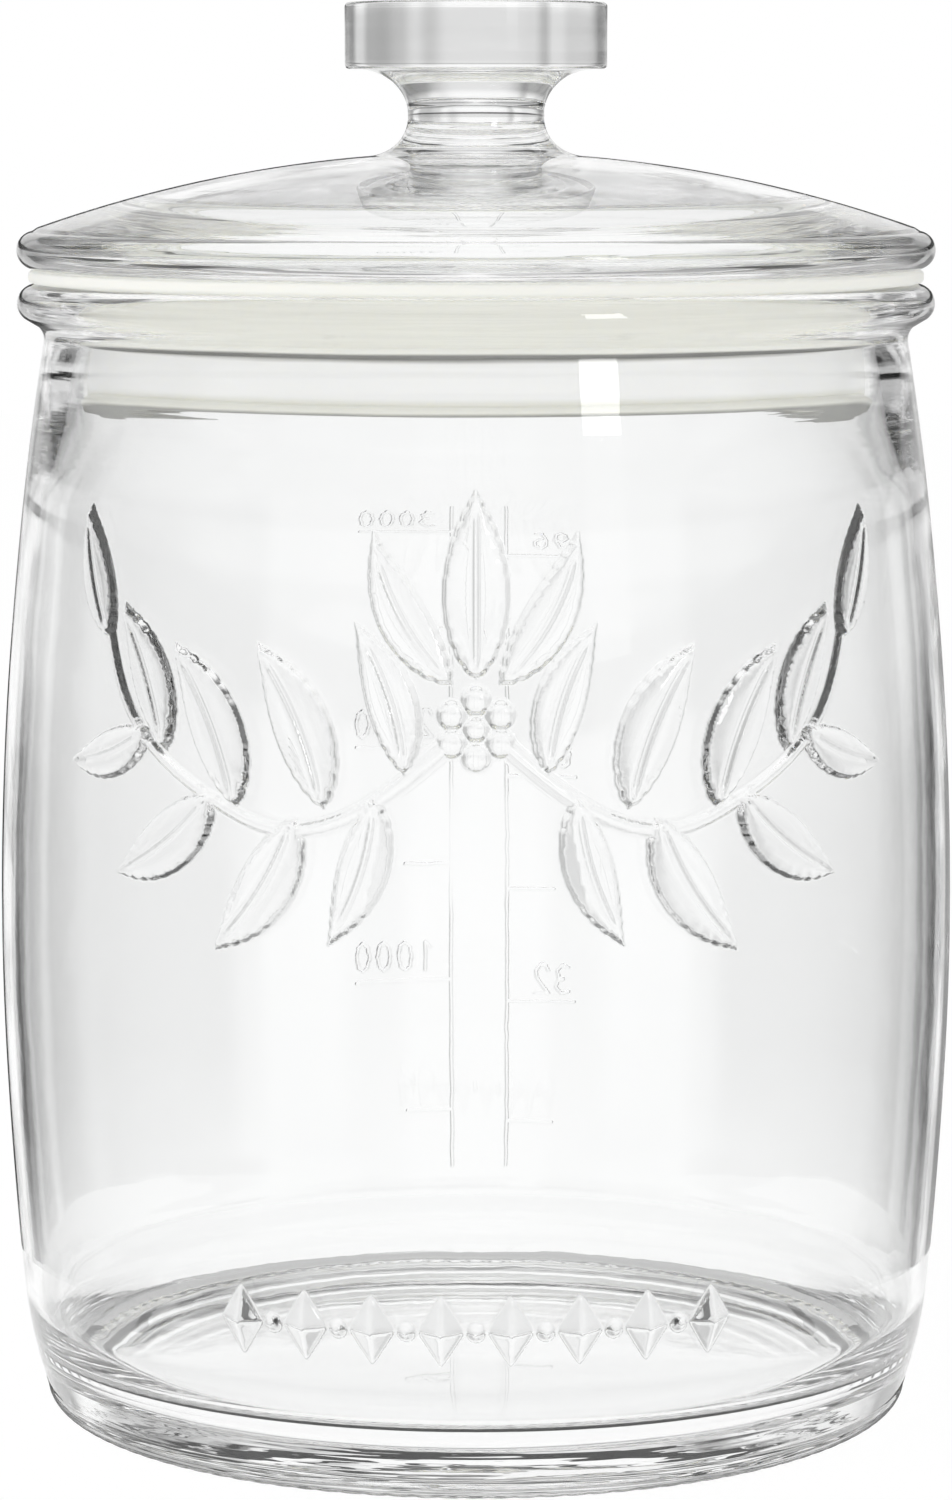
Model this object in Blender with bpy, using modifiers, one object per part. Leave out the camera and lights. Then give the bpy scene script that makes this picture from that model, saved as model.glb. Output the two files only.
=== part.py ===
"""Glass cookie jar with a domed glass lid that pushes in on a silicone seal.

The jar, the seal and the lid are shapes turned about +Z. Leaves on two branches
and a border of lozenges stand out from the front of the jar's wall. The seal is
seated on the jar's rim and the lid in the seal, so each is parented to what
carries it.
The origin is at the centre of the bottom, on the surface that the jar stands
on. Lengths are in metres.
"""

import math

import bmesh
import bpy

# Fits and finish shared by all pieces
SEAT_GAP = 0.0003
TURN_STEPS = 48
CURVE_STEPS = 2
MERGE_DISTANCE = 0.00001

# Jar: the outside
JAR_HEIGHT = 0.2044
JAR_BELLY_RADIUS = 0.08675
JAR_BELLY_HEIGHT = 0.0840
JAR_FOOT_RADIUS = 0.0793
JAR_HEEL_ROUNDING = 0.0033
JAR_RIM_REACH = 0.0048
JAR_RIM_ROUNDING = 0.0034
JAR_NECK_FILLET = 0.0030

# Jar: the inside
JAR_WALL = 0.0032
JAR_MOUTH_RADIUS = 0.0726
JAR_NECK_WALL = 0.0054
JAR_MOUTH_DEPTH = 0.0125
JAR_MOUTH_FLARE = 0.0230
JAR_LIP_ROUNDING = 0.0016
JAR_FLOOR_HEIGHT = 0.0082
JAR_FLOOR_ROUNDING = 0.0135

# Jar: the underside
JAR_BEARING_WIDTH = 0.0025
JAR_PUNT_STEP = 0.0007
JAR_PUNT_EDGE = 0.0015
JAR_PUNT_HEIGHT = 0.0033

# Jar: the raised ornament on the front, on the shoulder between the belly and the neck
ORNAMENT_REACH = 0.0820
ORNAMENT_BELLY_CLEARANCE = 0.0110
ORNAMENT_NECK_CLEARANCE = 0.0216
RELIEF_HEIGHT = 0.0021
RELIEF_ROOT = 0.0014
RELIEF_EDGE_DEPTH = 0.0004
LEAF_WIDTH = 0.0110
BRANCH_RADIUS = 0.0016
ROSETTE_RADIUS = 0.0047
BEAD_RADIUS = 0.0030
PETALS = 6
LEAF_SIDES, LEAF_RINGS = 4, 5
BEAD_SIDES, BEAD_RINGS = 6, 4

# Jar: the border low on the front
BORDER_HEIGHT = 0.0310
LOZENGE_WIDTH = 0.0086
LOZENGE_LENGTH = 0.0132
LOZENGE_PITCH = 0.0122
LOZENGES = 8
BORDER_BEAD_RADIUS = 0.0018
LOZENGE_SIDES, BORDER_RINGS = 4, 2

# Barrel wall: share of the height and of the swell from one end to the other,
# and of the way in from the wall to the mouth halfway up the shoulder
FOOT_TO_BELLY_SHARES = ((0.0, 0.0), (0.053, 0.174), (0.14, 0.403), (0.28, 0.59), (0.54, 0.80), (1.0, 1.0))
BELLY_TO_NECK_SHARES = ((0.0, 0.0), (0.22, 0.035), (0.40, 0.145), (0.615, 0.374), (0.82, 0.665), (1.0, 1.0))
MOUTH_FLARE_SHARE = 0.42

# Right half of the ornament: share of its reach and of its height. A leaf has its
# base, its tip, its bend as a share of its length and its share of the leaf width
BRANCH_SHARES = ((0.05, 0.47), (0.15, 0.38), (0.27, 0.30), (0.42, 0.27), (0.56, 0.32), (0.70, 0.40),
                 (0.80, 0.49), (0.90, 0.72))
LEAF_SHARES = (
    ((0.049, 0.590), (0.220, 0.910), -0.16, 0.85), ((0.146, 0.397), (0.256, 0.718), 0.14, 0.85),
    ((0.317, 0.321), (0.476, 0.667), 0.14, 1.0), ((0.512, 0.314), (0.683, 0.654), 0.14, 1.0),
    ((0.695, 0.423), (0.841, 0.731), 0.12, 0.85), ((0.207, 0.346), (0.305, 0.026), -0.14, 0.85),
    ((0.378, 0.295), (0.561, 0.0), -0.14, 1.0), ((0.573, 0.333), (0.829, 0.141), -0.14, 1.0),
    ((0.744, 0.462), (1.0, 0.372), -0.14, 0.8), ((0.878, 0.654), (0.988, 0.936), -0.1, 0.85))
MIDDLE_LEAF_SHARES = ((0.0, 0.603), (0.0, 1.0), 0.0, 1.1)
ROSETTE_SHARES = (0.0, 0.494)
LEAF_TAPER_SHARE = 0.85
BRANCH_TIP_SHARE = 0.7

# Seal: a flange on the rim, a sleeve round the lid's skirt and a lip that hooks under it
SEAL_FLANGE_THICKNESS = 0.0021
SEAL_FLANGE_INSET = 0.0021
SEAL_FLANGE_ROUNDING = 0.0007
SEAL_BAND_DEPTH = 0.0094
SEAL_BAND_CLEARANCE = 0.0013
SEAL_BAND_WALL = 0.0021
SEAL_BAND_FILLET = 0.0009
SEAL_WIPER_HEIGHT = 0.0024
SEAL_SLEEVE_WALL = 0.0009
SEAL_TAPER_HEIGHT = 0.0012
SEAL_BASE_THICKNESS = 0.0010
SEAL_BASE_REACH = 0.0013
SEAL_BASE_HEIGHT = 0.0018
SEAL_LIP_WALL = 0.0011
SEAL_LIP_HEIGHT = 0.0051
SEAL_EDGE_ROUNDING = 0.0003

# Lid: the rim and the dome
LID_RIM_THICKNESS = 0.0068
LID_DOME_INSET = 0.0038
LID_DOME_STEP = 0.0006
LID_DOME_RISE = 0.01345
LID_DOME_WALL = 0.0055

# Lid: the skirt that goes down into the neck
LID_SKIRT_WALL = 0.0046
LID_SKIRT_DEPTH = 0.0215
LID_SKIRT_FILLET = 0.0011
LID_CROWN_FILLET = 0.0060

# Lid: the stem and the disc knob
STEM_RADIUS = 0.0123
STEM_LENGTH = 0.0147
STEM_LOWER_FLARE = 0.0077
STEM_LOWER_FLARE_HEIGHT = 0.0068
STEM_UPPER_FLARE = 0.0092
STEM_UPPER_FLARE_HEIGHT = 0.0079
KNOB_RADIUS = 0.0236
KNOB_THICKNESS = 0.0119
KNOB_EDGE_ROUNDING = 0.0008

# Sizes that follow from those above
JAR_NECK_RADIUS = JAR_MOUTH_RADIUS + JAR_NECK_WALL
JAR_RIM_RADIUS = JAR_NECK_RADIUS + JAR_RIM_REACH
LID_RIM_RADIUS = JAR_RIM_RADIUS
LID_DOME_RADIUS = LID_RIM_RADIUS - LID_DOME_INSET
LID_SKIRT_RADIUS = JAR_MOUTH_RADIUS - SEAL_BAND_CLEARANCE - SEAL_BAND_WALL - SEAT_GAP
JAR_BEARING_RADIUS = JAR_FOOT_RADIUS - JAR_HEEL_ROUNDING
NECK_HEIGHT = JAR_HEIGHT - 2 * JAR_RIM_ROUNDING - JAR_NECK_FILLET
RIM_BEAD_CENTRE_RADIUS = JAR_RIM_RADIUS - JAR_RIM_ROUNDING
RIM_BEAD_CENTRE_HEIGHT = JAR_HEIGHT - JAR_RIM_ROUNDING
ORNAMENT_FOOT_HEIGHT = JAR_BELLY_HEIGHT + ORNAMENT_BELLY_CLEARANCE
ORNAMENT_HEIGHT = NECK_HEIGHT - ORNAMENT_NECK_CLEARANCE - ORNAMENT_FOOT_HEIGHT
LID_SEAT_HEIGHT = SEAL_FLANGE_THICKNESS + 2 * SEAT_GAP
SKIRT_END_ROUNDING = LID_SKIRT_WALL / 2


def arc(centre, radii, start, end, steps):
    """Points of an arc or a quarter ellipse, from one angle to another in degrees."""
    points = []
    for step in range(steps + 1):
        angle = math.radians(start + (end - start) * step / steps)
        points.append((centre[0] + radii[0] * math.cos(angle), centre[1] + radii[1] * math.sin(angle)))
    return points


def smooth_curve(stations, steps):
    """Points of a smooth curve through the stations, with several steps between each two."""
    points = []
    for index in range(len(stations) - 1):
        before = stations[max(index - 1, 0)]
        start, end = stations[index], stations[index + 1]
        after = stations[min(index + 2, len(stations) - 1)]
        for step in range(steps):
            t = step / steps
            points.append(tuple(
                ((2 * s) + (e - b) * t + (2 * b - 5 * s + 4 * e - a) * t ** 2
                 + (3 * s - b - 3 * e + a) * t ** 3) / 2
                for b, s, e, a in zip(before, start, end, after)))
    points.append(stations[-1])
    return points


def barrel_stations():
    """Outer wall of the jar from the heel up to the neck, as radius and height."""
    stations = []
    for height_share, swell_share in FOOT_TO_BELLY_SHARES:
        radius = JAR_FOOT_RADIUS + swell_share * (JAR_BELLY_RADIUS - JAR_FOOT_RADIUS)
        height = JAR_HEEL_ROUNDING + height_share * (JAR_BELLY_HEIGHT - JAR_HEEL_ROUNDING)
        stations.append((radius, height))
    for height_share, swell_share in BELLY_TO_NECK_SHARES[1:]:
        radius = JAR_BELLY_RADIUS + swell_share * (JAR_NECK_RADIUS - JAR_BELLY_RADIUS)
        height = JAR_BELLY_HEIGHT + height_share * (NECK_HEIGHT - JAR_BELLY_HEIGHT)
        stations.append((radius, height))
    return stations


def radius_at(points, height):
    """Radius of a wall at a height, read between its points, which run upwards."""
    for (low_radius, low), (high_radius, high) in zip(points, points[1:]):
        if low <= height <= high:
            return low_radius + (high_radius - low_radius) * (height - low) / (high - low)
    return points[-1][0] if height > points[-1][1] else points[0][0]


def jar_inside(barrel):
    """Inside of the jar from the middle of the floor up to the edge of the mouth."""
    corner_height = JAR_FLOOR_HEIGHT + JAR_FLOOR_ROUNDING
    corner_radius = radius_at(barrel, corner_height) - JAR_WALL - JAR_FLOOR_ROUNDING
    flare_height = JAR_HEIGHT - JAR_MOUTH_DEPTH - JAR_MOUTH_FLARE
    points = [(0, JAR_FLOOR_HEIGHT)]
    points += arc((corner_radius, corner_height), (JAR_FLOOR_ROUNDING, JAR_FLOOR_ROUNDING), -90, 0, 4)
    points += [(radius - JAR_WALL, height) for radius, height in barrel
               if corner_height < height < flare_height][1::2]
    flare_start = (radius_at(barrel, flare_height) - JAR_WALL, flare_height)
    flare_end = (JAR_MOUTH_RADIUS, JAR_HEIGHT - JAR_MOUTH_DEPTH)
    flare_middle = (JAR_MOUTH_RADIUS + (flare_start[0] - JAR_MOUTH_RADIUS) * MOUTH_FLARE_SHARE,
                    (flare_start[1] + flare_end[1]) / 2)
    points += [flare_start, flare_middle, flare_end]
    points += arc((JAR_MOUTH_RADIUS + JAR_LIP_ROUNDING, JAR_HEIGHT - JAR_LIP_ROUNDING),
                  (JAR_LIP_ROUNDING, JAR_LIP_ROUNDING), 180, 90, 2)
    return points


def jar_profile():
    """Jar from the middle of its floor, over the rim and down the outside to the punt."""
    barrel = smooth_curve(barrel_stations(), CURVE_STEPS)
    points = jar_inside(barrel)
    points += arc((RIM_BEAD_CENTRE_RADIUS, RIM_BEAD_CENTRE_HEIGHT),
                  (JAR_RIM_ROUNDING, JAR_RIM_ROUNDING), 90, -50, 5)
    points += arc((JAR_NECK_RADIUS + JAR_NECK_FILLET, NECK_HEIGHT),
                  (JAR_NECK_FILLET, JAR_NECK_FILLET), 130, 180, 2)
    points += list(reversed(barrel))[1:-1]
    points += arc((JAR_BEARING_RADIUS, JAR_HEEL_ROUNDING),
                  (JAR_HEEL_ROUNDING, JAR_HEEL_ROUNDING), 0, -90, 3)
    punt_radius = JAR_BEARING_RADIUS - JAR_BEARING_WIDTH
    points.append((punt_radius, 0))
    points += arc((0, JAR_PUNT_STEP), (punt_radius - JAR_PUNT_EDGE, JAR_PUNT_HEIGHT - JAR_PUNT_STEP), 0, 90, 3)
    return points


def wall_point(barrel, across, height, rise):
    """Place on the front of the jar, from its way across the wall, its height and its rise off the skin.

    What stands out stays within the square that just holds the belly.
    """
    radius = radius_at(barrel, height)
    angle = across / JAR_BELLY_RADIUS - math.tau / 4
    square = JAR_BELLY_RADIUS / max(abs(math.cos(angle)), abs(math.sin(angle)))
    reach = min(radius + rise, square)
    return (reach * math.cos(angle), reach * math.sin(angle), height)


def ornament_place(shares):
    """Place across the wall and up its height, from shares of the ornament's reach and height."""
    return shares[0] * ORNAMENT_REACH, ORNAMENT_FOOT_HEIGHT + shares[1] * ORNAMENT_HEIGHT


def hidden_solid(mesh, material, collection):
    """Solid that is joined to the jar and not kept by itself."""
    mesh.materials.append(material)
    solid = bpy.data.objects.new(mesh.name, mesh)
    solid.hide_render = True
    solid.display_type = "WIRE"
    collection.objects.link(solid)


def raised_sphere(name, sides, rings, place):
    """Flattened sphere, each of whose points is put on the wall by a function of the unit sphere's point."""
    shape = bmesh.new()
    bmesh.ops.create_uvsphere(shape, u_segments=sides, v_segments=rings, radius=1)
    for vertex in shape.verts:
        vertex.co = place(*vertex.co)
    bmesh.ops.recalc_face_normals(shape, faces=shape.faces)
    mesh = bpy.data.meshes.new(name)
    shape.to_mesh(mesh)
    shape.free()
    return mesh


def rise_of(share):
    """Rise off the skin for a share of the relief's height, or of its root where that is negative."""
    return share * (RELIEF_HEIGHT + RELIEF_EDGE_DEPTH if share > 0 else RELIEF_ROOT) - RELIEF_EDGE_DEPTH


def leaf_mesh(name, barrel, shares, side):
    """Leaf with a ridge along its bent middle line, right of the middle or, for side -1, left of it."""
    base_shares, tip_shares, bend_share, width_share = shares
    base_across, base_height = ornament_place(base_shares)
    tip_across, tip_height = ornament_place(tip_shares)
    run_across, run_height = tip_across - base_across, tip_height - base_height
    length = math.hypot(run_across, run_height)
    half_width = LEAF_WIDTH / 2 * width_share * (1 + RELIEF_EDGE_DEPTH / RELIEF_HEIGHT)

    def place(x, y, z):
        """Point of the leaf for a point of the unit sphere, whose poles are the leaf's base and tip."""
        along = (1 + z) / 2
        ring = math.hypot(x, y)
        at_end = ring < MERGE_DISTANCE
        fullness = 0 if at_end else math.sin(math.pi * along ** LEAF_TAPER_SHARE) ** LEAF_TAPER_SHARE / ring
        aside = 2 * along * (1 - along) * bend_share * length + x * fullness * half_width
        across = base_across + run_across * along - run_height / length * aside
        height = base_height + run_height * along + run_across / length * aside
        return wall_point(barrel, side * across, height, rise_of(0 if at_end else y / ring))

    return raised_sphere(name, LEAF_SIDES, LEAF_RINGS, place)


def stud_mesh(name, barrel, across, height, half_sizes, sides, rings):
    """Raised bead or lozenge on the front of the jar."""
    def place(x, y, z):
        """Point of the stud for a point of the unit sphere, whose poles point in and out."""
        return wall_point(barrel, across + x * half_sizes[0], height + y * half_sizes[1], rise_of(z))

    return raised_sphere(name, sides, rings, place)


def branch_mesh(name, barrel, side):
    """Half-sunk branch that thins towards its tip, with its ends closed."""
    curve = bpy.data.curves.new(name, "CURVE")
    curve.dimensions = "3D"
    curve.bevel_depth = BRANCH_RADIUS
    curve.bevel_resolution = 1
    curve.use_fill_caps = True
    line = curve.splines.new("POLY")
    line.points.add(len(BRANCH_SHARES) - 1)
    for index, shares in enumerate(BRANCH_SHARES):
        across, height = ornament_place(shares)
        line.points[index].co = (*wall_point(barrel, side * across, height, 0), 1)
        line.points[index].radius = 1 - (1 - BRANCH_TIP_SHARE) * index / (len(BRANCH_SHARES) - 1)
    guide = bpy.data.objects.new(name, curve)
    bpy.context.scene.collection.objects.link(guide)
    evaluated = guide.evaluated_get(bpy.context.evaluated_depsgraph_get())
    mesh = bpy.data.meshes.new_from_object(evaluated)
    bpy.data.objects.remove(guide, do_unlink=True)
    mesh.materials.clear()
    shape = bmesh.new()
    shape.from_mesh(mesh)
    bmesh.ops.remove_doubles(shape, verts=shape.verts, dist=MERGE_DISTANCE)
    bmesh.ops.recalc_face_normals(shape, faces=shape.faces)
    shape.to_mesh(mesh)
    shape.free()
    return mesh


def ornament_meshes():
    """Branches, leaves and rosette on the shoulder, and the border with its beads low on the front."""
    barrel = smooth_curve(barrel_stations(), CURVE_STEPS)
    meshes = []
    for side, word in ((1, "right"), (-1, "left")):
        meshes.append(branch_mesh(f"branch_{word}", barrel, side))
        for number, shares in enumerate(LEAF_SHARES):
            meshes.append(leaf_mesh(f"leaf_{word}_{number}", barrel, shares, side))
    meshes.append(leaf_mesh("leaf_middle", barrel, MIDDLE_LEAF_SHARES, 1))
    bead = (BEAD_RADIUS, BEAD_RADIUS)
    rosette = ornament_place(ROSETTE_SHARES)
    meshes.append(stud_mesh("rosette_middle", barrel, *rosette, bead, BEAD_SIDES, BEAD_RINGS))
    for number in range(PETALS):
        angle = math.tau * (number + 0.5) / PETALS
        across = rosette[0] + ROSETTE_RADIUS * math.cos(angle)
        height = rosette[1] + ROSETTE_RADIUS * math.sin(angle)
        meshes.append(stud_mesh(f"petal_{number}", barrel, across, height, bead, BEAD_SIDES, BEAD_RINGS))
    lozenge = (LOZENGE_WIDTH / 2, LOZENGE_LENGTH / 2)
    border_bead = (BORDER_BEAD_RADIUS, BORDER_BEAD_RADIUS)
    for number in range(LOZENGES):
        across = (number - (LOZENGES - 1) / 2) * LOZENGE_PITCH
        meshes.append(stud_mesh(f"lozenge_{number}", barrel, across, BORDER_HEIGHT, lozenge,
                                LOZENGE_SIDES, BORDER_RINGS))
        if number:
            between = across - LOZENGE_PITCH / 2
            meshes.append(stud_mesh(f"border_bead_{number}", barrel, between, BORDER_HEIGHT, border_bead,
                                    BEAD_SIDES, BORDER_RINGS))
    return meshes


def raise_ornament(jar, material):
    """Join the ornament to the jar, so that both are one body."""
    shapes = bpy.data.collections.new("Ornament shapes")
    bpy.context.scene.collection.children.link(shapes)
    for mesh in ornament_meshes():
        hidden_solid(mesh, material, shapes)
    union = jar.modifiers.new("ornament", "BOOLEAN")
    union.operation = "UNION"
    union.operand_type = "COLLECTION"
    union.collection = shapes


def seal_profile():
    """Seal as a closed outline, with its heights measured from the top of the jar's rim."""
    flange_radius = JAR_RIM_RADIUS - SEAL_FLANGE_INSET
    flange_bottom, flange_top = SEAT_GAP, SEAT_GAP + SEAL_FLANGE_THICKNESS
    bore_radius = LID_SKIRT_RADIUS + SEAT_GAP
    sleeve_radius = bore_radius + SEAL_SLEEVE_WALL
    band_radius = JAR_MOUTH_RADIUS - SEAL_BAND_CLEARANCE
    wiper_radius = JAR_MOUTH_RADIUS - SEAT_GAP
    skirt_end = LID_SEAT_HEIGHT - LID_SKIRT_DEPTH
    channel_centre = (LID_SKIRT_RADIUS - SKIRT_END_ROUNDING, skirt_end + SKIRT_END_ROUNDING)
    channel_rounding = SKIRT_END_ROUNDING + SEAT_GAP
    lip_outer = channel_centre[0] - channel_rounding
    lip_inner = lip_outer - SEAL_LIP_WALL
    base = skirt_end - SEAT_GAP - SEAL_BASE_THICKNESS
    base_middle = base + SEAL_BASE_HEIGHT / 2
    wiper_middle = flange_bottom - SEAL_BAND_DEPTH + SEAL_WIPER_HEIGHT / 2
    rounding = (SEAL_FLANGE_ROUNDING, SEAL_FLANGE_ROUNDING)
    bore_rounding = LID_SKIRT_FILLET - SEAT_GAP
    points = arc((bore_radius + bore_rounding, flange_top - bore_rounding),
                 (bore_rounding, bore_rounding), 180, 90, 2)
    points += arc((flange_radius - rounding[0], flange_top - rounding[1]), rounding, 90, 0, 2)
    points += arc((flange_radius - rounding[0], flange_bottom + rounding[1]), rounding, 0, -90, 2)
    points += arc((band_radius + SEAL_BAND_FILLET, flange_bottom - SEAL_BAND_FILLET),
                  (SEAL_BAND_FILLET, SEAL_BAND_FILLET), 90, 180, 2)
    points += arc((band_radius, wiper_middle), (wiper_radius - band_radius, SEAL_WIPER_HEIGHT / 2), 90, -90, 4)
    points.append((sleeve_radius, flange_bottom - SEAL_BAND_DEPTH - SEAL_TAPER_HEIGHT))
    points.append((sleeve_radius, base + SEAL_BASE_HEIGHT))
    points += arc((sleeve_radius, base_middle), (SEAL_BASE_REACH, SEAL_BASE_HEIGHT / 2), 45, -90, 3)
    points += [(lip_inner + SEAL_EDGE_ROUNDING, base), (lip_inner, base + SEAL_EDGE_ROUNDING)]
    points += arc((lip_inner + SEAL_LIP_WALL / 2, base + SEAL_LIP_HEIGHT - SEAL_LIP_WALL / 2),
                  (SEAL_LIP_WALL / 2, SEAL_LIP_WALL / 2), 180, 0, 4)
    points += arc(channel_centre, (channel_rounding, channel_rounding), 180, 360, 6)
    return points


def dome_arc(edge_radius, rise, edge_height, start_radius, end_radius, steps):
    """Points of a shallow dome of that rise over its edge, between two radii."""
    sphere = (edge_radius ** 2 + rise ** 2) / (2 * rise)
    points = []
    for step in range(steps + 1):
        radius = start_radius + (end_radius - start_radius) * step / steps
        points.append((radius, edge_height + rise - sphere + math.sqrt(sphere ** 2 - radius ** 2)))
    return points


def knob_and_stem(dome_top):
    """Disc knob and waisted stem, from the middle of the knob's top to the dome."""
    knob_bottom = dome_top + STEM_LENGTH
    knob_top = knob_bottom + KNOB_THICKNESS
    rounding = (KNOB_EDGE_ROUNDING, KNOB_EDGE_ROUNDING)
    points = [(0, knob_top)]
    points += arc((KNOB_RADIUS - rounding[0], knob_top - rounding[1]), rounding, 90, 0, 2)
    points += arc((KNOB_RADIUS - rounding[0], knob_bottom + rounding[1]), rounding, 0, -90, 2)
    points += arc((STEM_RADIUS + STEM_UPPER_FLARE, knob_bottom - STEM_UPPER_FLARE_HEIGHT),
                  (STEM_UPPER_FLARE, STEM_UPPER_FLARE_HEIGHT), 90, 180, 4)
    return points


def lid_profile():
    """Lid from the top of the knob to the underside of the dome, measured from its seat."""
    edge_height = LID_RIM_THICKNESS + LID_DOME_STEP
    dome_top = edge_height + LID_DOME_RISE
    flare_radius = STEM_RADIUS + STEM_LOWER_FLARE
    dome = dome_arc(LID_DOME_RADIUS, LID_DOME_RISE, edge_height, flare_radius, LID_DOME_RADIUS, 5)
    rim_half = LID_RIM_THICKNESS / 2
    skirt_inner = LID_SKIRT_RADIUS - LID_SKIRT_WALL
    crown_radius = skirt_inner - LID_CROWN_FILLET
    crown = dome_arc(LID_DOME_RADIUS, LID_DOME_RISE, edge_height - LID_DOME_WALL, crown_radius, 0, 4)
    points = knob_and_stem(dome_top)
    points += arc((flare_radius, dome[0][1] + STEM_LOWER_FLARE_HEIGHT),
                  (STEM_LOWER_FLARE, STEM_LOWER_FLARE_HEIGHT), 180, 270, 4)
    points += dome[1:]
    points += arc((LID_RIM_RADIUS - rim_half, rim_half), (rim_half, rim_half), 80, -90, 6)
    points += arc((LID_SKIRT_RADIUS + LID_SKIRT_FILLET, -LID_SKIRT_FILLET),
                  (LID_SKIRT_FILLET, LID_SKIRT_FILLET), 90, 180, 2)
    points += arc((LID_SKIRT_RADIUS - SKIRT_END_ROUNDING, SKIRT_END_ROUNDING - LID_SKIRT_DEPTH),
                  (SKIRT_END_ROUNDING, SKIRT_END_ROUNDING), 0, -180, 6)
    points += arc((crown_radius, crown[0][1] - LID_CROWN_FILLET),
                  (LID_CROWN_FILLET, LID_CROWN_FILLET), 0, 90, 3)
    points += crown[1:]
    return points


def glass(name, color):
    """Clear glass."""
    material = bpy.data.materials.new(name)
    material.use_nodes = True
    shader = material.node_tree.nodes["Principled BSDF"]
    shader.inputs["Base Color"].default_value = color
    shader.inputs["Roughness"].default_value = 0.02
    shader.inputs["Metallic"].default_value = 0.0
    shader.inputs["Transmission Weight"].default_value = 1.0
    shader.inputs["IOR"].default_value = 1.52
    return material


def silicone():
    """Soft off-white silicone that lets light through."""
    material = bpy.data.materials.new("seal_silicone")
    material.use_nodes = True
    shader = material.node_tree.nodes["Principled BSDF"]
    shader.inputs["Base Color"].default_value = (0.84, 0.83, 0.76, 1.0)
    shader.inputs["Roughness"].default_value = 0.45
    shader.inputs["Metallic"].default_value = 0.0
    shader.inputs["Transmission Weight"].default_value = 0.35
    return material


def turned(name, profile, material, collection, closed=False):
    """Piece turned about +Z from a profile that runs down its outer side."""
    edges = [(index, index + 1) for index in range(len(profile) - 1)]
    if closed:
        edges.append((len(profile) - 1, 0))
    mesh = bpy.data.meshes.new(name)
    mesh.from_pydata([(radius, 0, height) for radius, height in profile], edges, [])
    mesh.materials.append(material)
    piece = bpy.data.objects.new(name, mesh)
    collection.objects.link(piece)
    screw = piece.modifiers.new("turn", "SCREW")
    screw.axis = "Z"
    screw.angle = math.tau
    screw.steps = TURN_STEPS
    screw.render_steps = TURN_STEPS
    screw.use_merge_vertices = True
    screw.merge_threshold = MERGE_DISTANCE
    screw.use_smooth_shade = True
    return piece


def clear_scene():
    """Remove whatever the file holds."""
    for scene_object in list(bpy.data.objects):
        bpy.data.objects.remove(scene_object, do_unlink=True)


def main():
    """Build the jar, the seal on its rim and the lid in the seal."""
    clear_scene()
    collection = bpy.data.collections.new("Glass cookie jar")
    bpy.context.scene.collection.children.link(collection)
    jar_glass = glass("jar_glass", (0.97, 0.98, 0.98, 1.0))
    jar = turned("jar_body", jar_profile(), jar_glass, collection)
    raise_ornament(jar, jar_glass)
    seal = turned("seal_ring", seal_profile(), silicone(), collection, closed=True)
    lid = turned("lid", lid_profile(), glass("lid_glass", (0.97, 0.98, 0.98, 1.0)), collection)
    seal.parent = jar
    seal.location = (0, 0, JAR_HEIGHT)
    lid.parent = seal
    lid.location = (0, 0, LID_SEAT_HEIGHT)


main()
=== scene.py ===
"""Glass cookie jar with a domed lid on a silicone seal, dressed for its studio picture.

The jar, the seal and the lid are turned about +Z in the frame of the CAD model.
Lengths are in metres, except in the relief patterns, which are drawn in
millimetres on the unrolled wall: x runs round the jar and y up its height.
"""

from __future__ import annotations

import logging
import math
from abc import ABC, abstractmethod
from dataclasses import dataclass, field, replace
from enum import Enum
from typing import ClassVar

import bpy
import numpy as np
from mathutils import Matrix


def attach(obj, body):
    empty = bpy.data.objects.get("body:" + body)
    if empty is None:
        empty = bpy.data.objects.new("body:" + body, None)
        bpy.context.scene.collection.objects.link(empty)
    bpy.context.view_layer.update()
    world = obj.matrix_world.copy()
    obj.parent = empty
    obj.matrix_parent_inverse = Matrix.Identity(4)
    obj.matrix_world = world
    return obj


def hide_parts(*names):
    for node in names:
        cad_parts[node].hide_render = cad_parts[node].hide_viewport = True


LOG = logging.getLogger("cookie_jar")
MM = 0.001
# Millimetres to the edge of a raised form where none is near.
FAR = 99.0

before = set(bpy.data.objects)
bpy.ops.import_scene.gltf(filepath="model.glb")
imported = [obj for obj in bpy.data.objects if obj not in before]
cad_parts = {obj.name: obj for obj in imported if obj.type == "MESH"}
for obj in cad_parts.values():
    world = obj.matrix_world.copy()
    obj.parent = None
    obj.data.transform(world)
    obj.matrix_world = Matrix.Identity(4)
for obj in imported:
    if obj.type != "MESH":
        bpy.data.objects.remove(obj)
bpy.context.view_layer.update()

Point = tuple[float, float]
Stops = tuple[Point, ...]
Colour = tuple[float, float, float]
Socket = bpy.types.NodeSocket
Tree = bpy.types.NodeTree


class Side(Enum):
    """Side of the jar on which a pattern is drawn, as the angle of its middle in degrees."""

    FRONT = -90.0
    BACK = 90.0


class Sum(Enum):
    """What a Math node works out."""

    ADD = "ADD"
    SUBTRACT = "SUBTRACT"
    MULTIPLY = "MULTIPLY"
    MULTIPLY_ADD = "MULTIPLY_ADD"
    DIVIDE = "DIVIDE"
    MAXIMUM = "MAXIMUM"
    ROUND = "ROUND"
    SINE = "SINE"
    COSINE = "COSINE"
    DIRECTION = "ARCTAN2"
    ABOVE = "GREATER_THAN"
    BELOW = "LESS_THAN"


class Easing(Enum):
    """How a ramp runs from one stop to the next."""

    STRAIGHT = "LINEAR"
    EASED = "EASE"


class Blend(Enum):
    """How two colours are put together."""

    MIX = "MIX"
    TIMES = "MULTIPLY"


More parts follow.
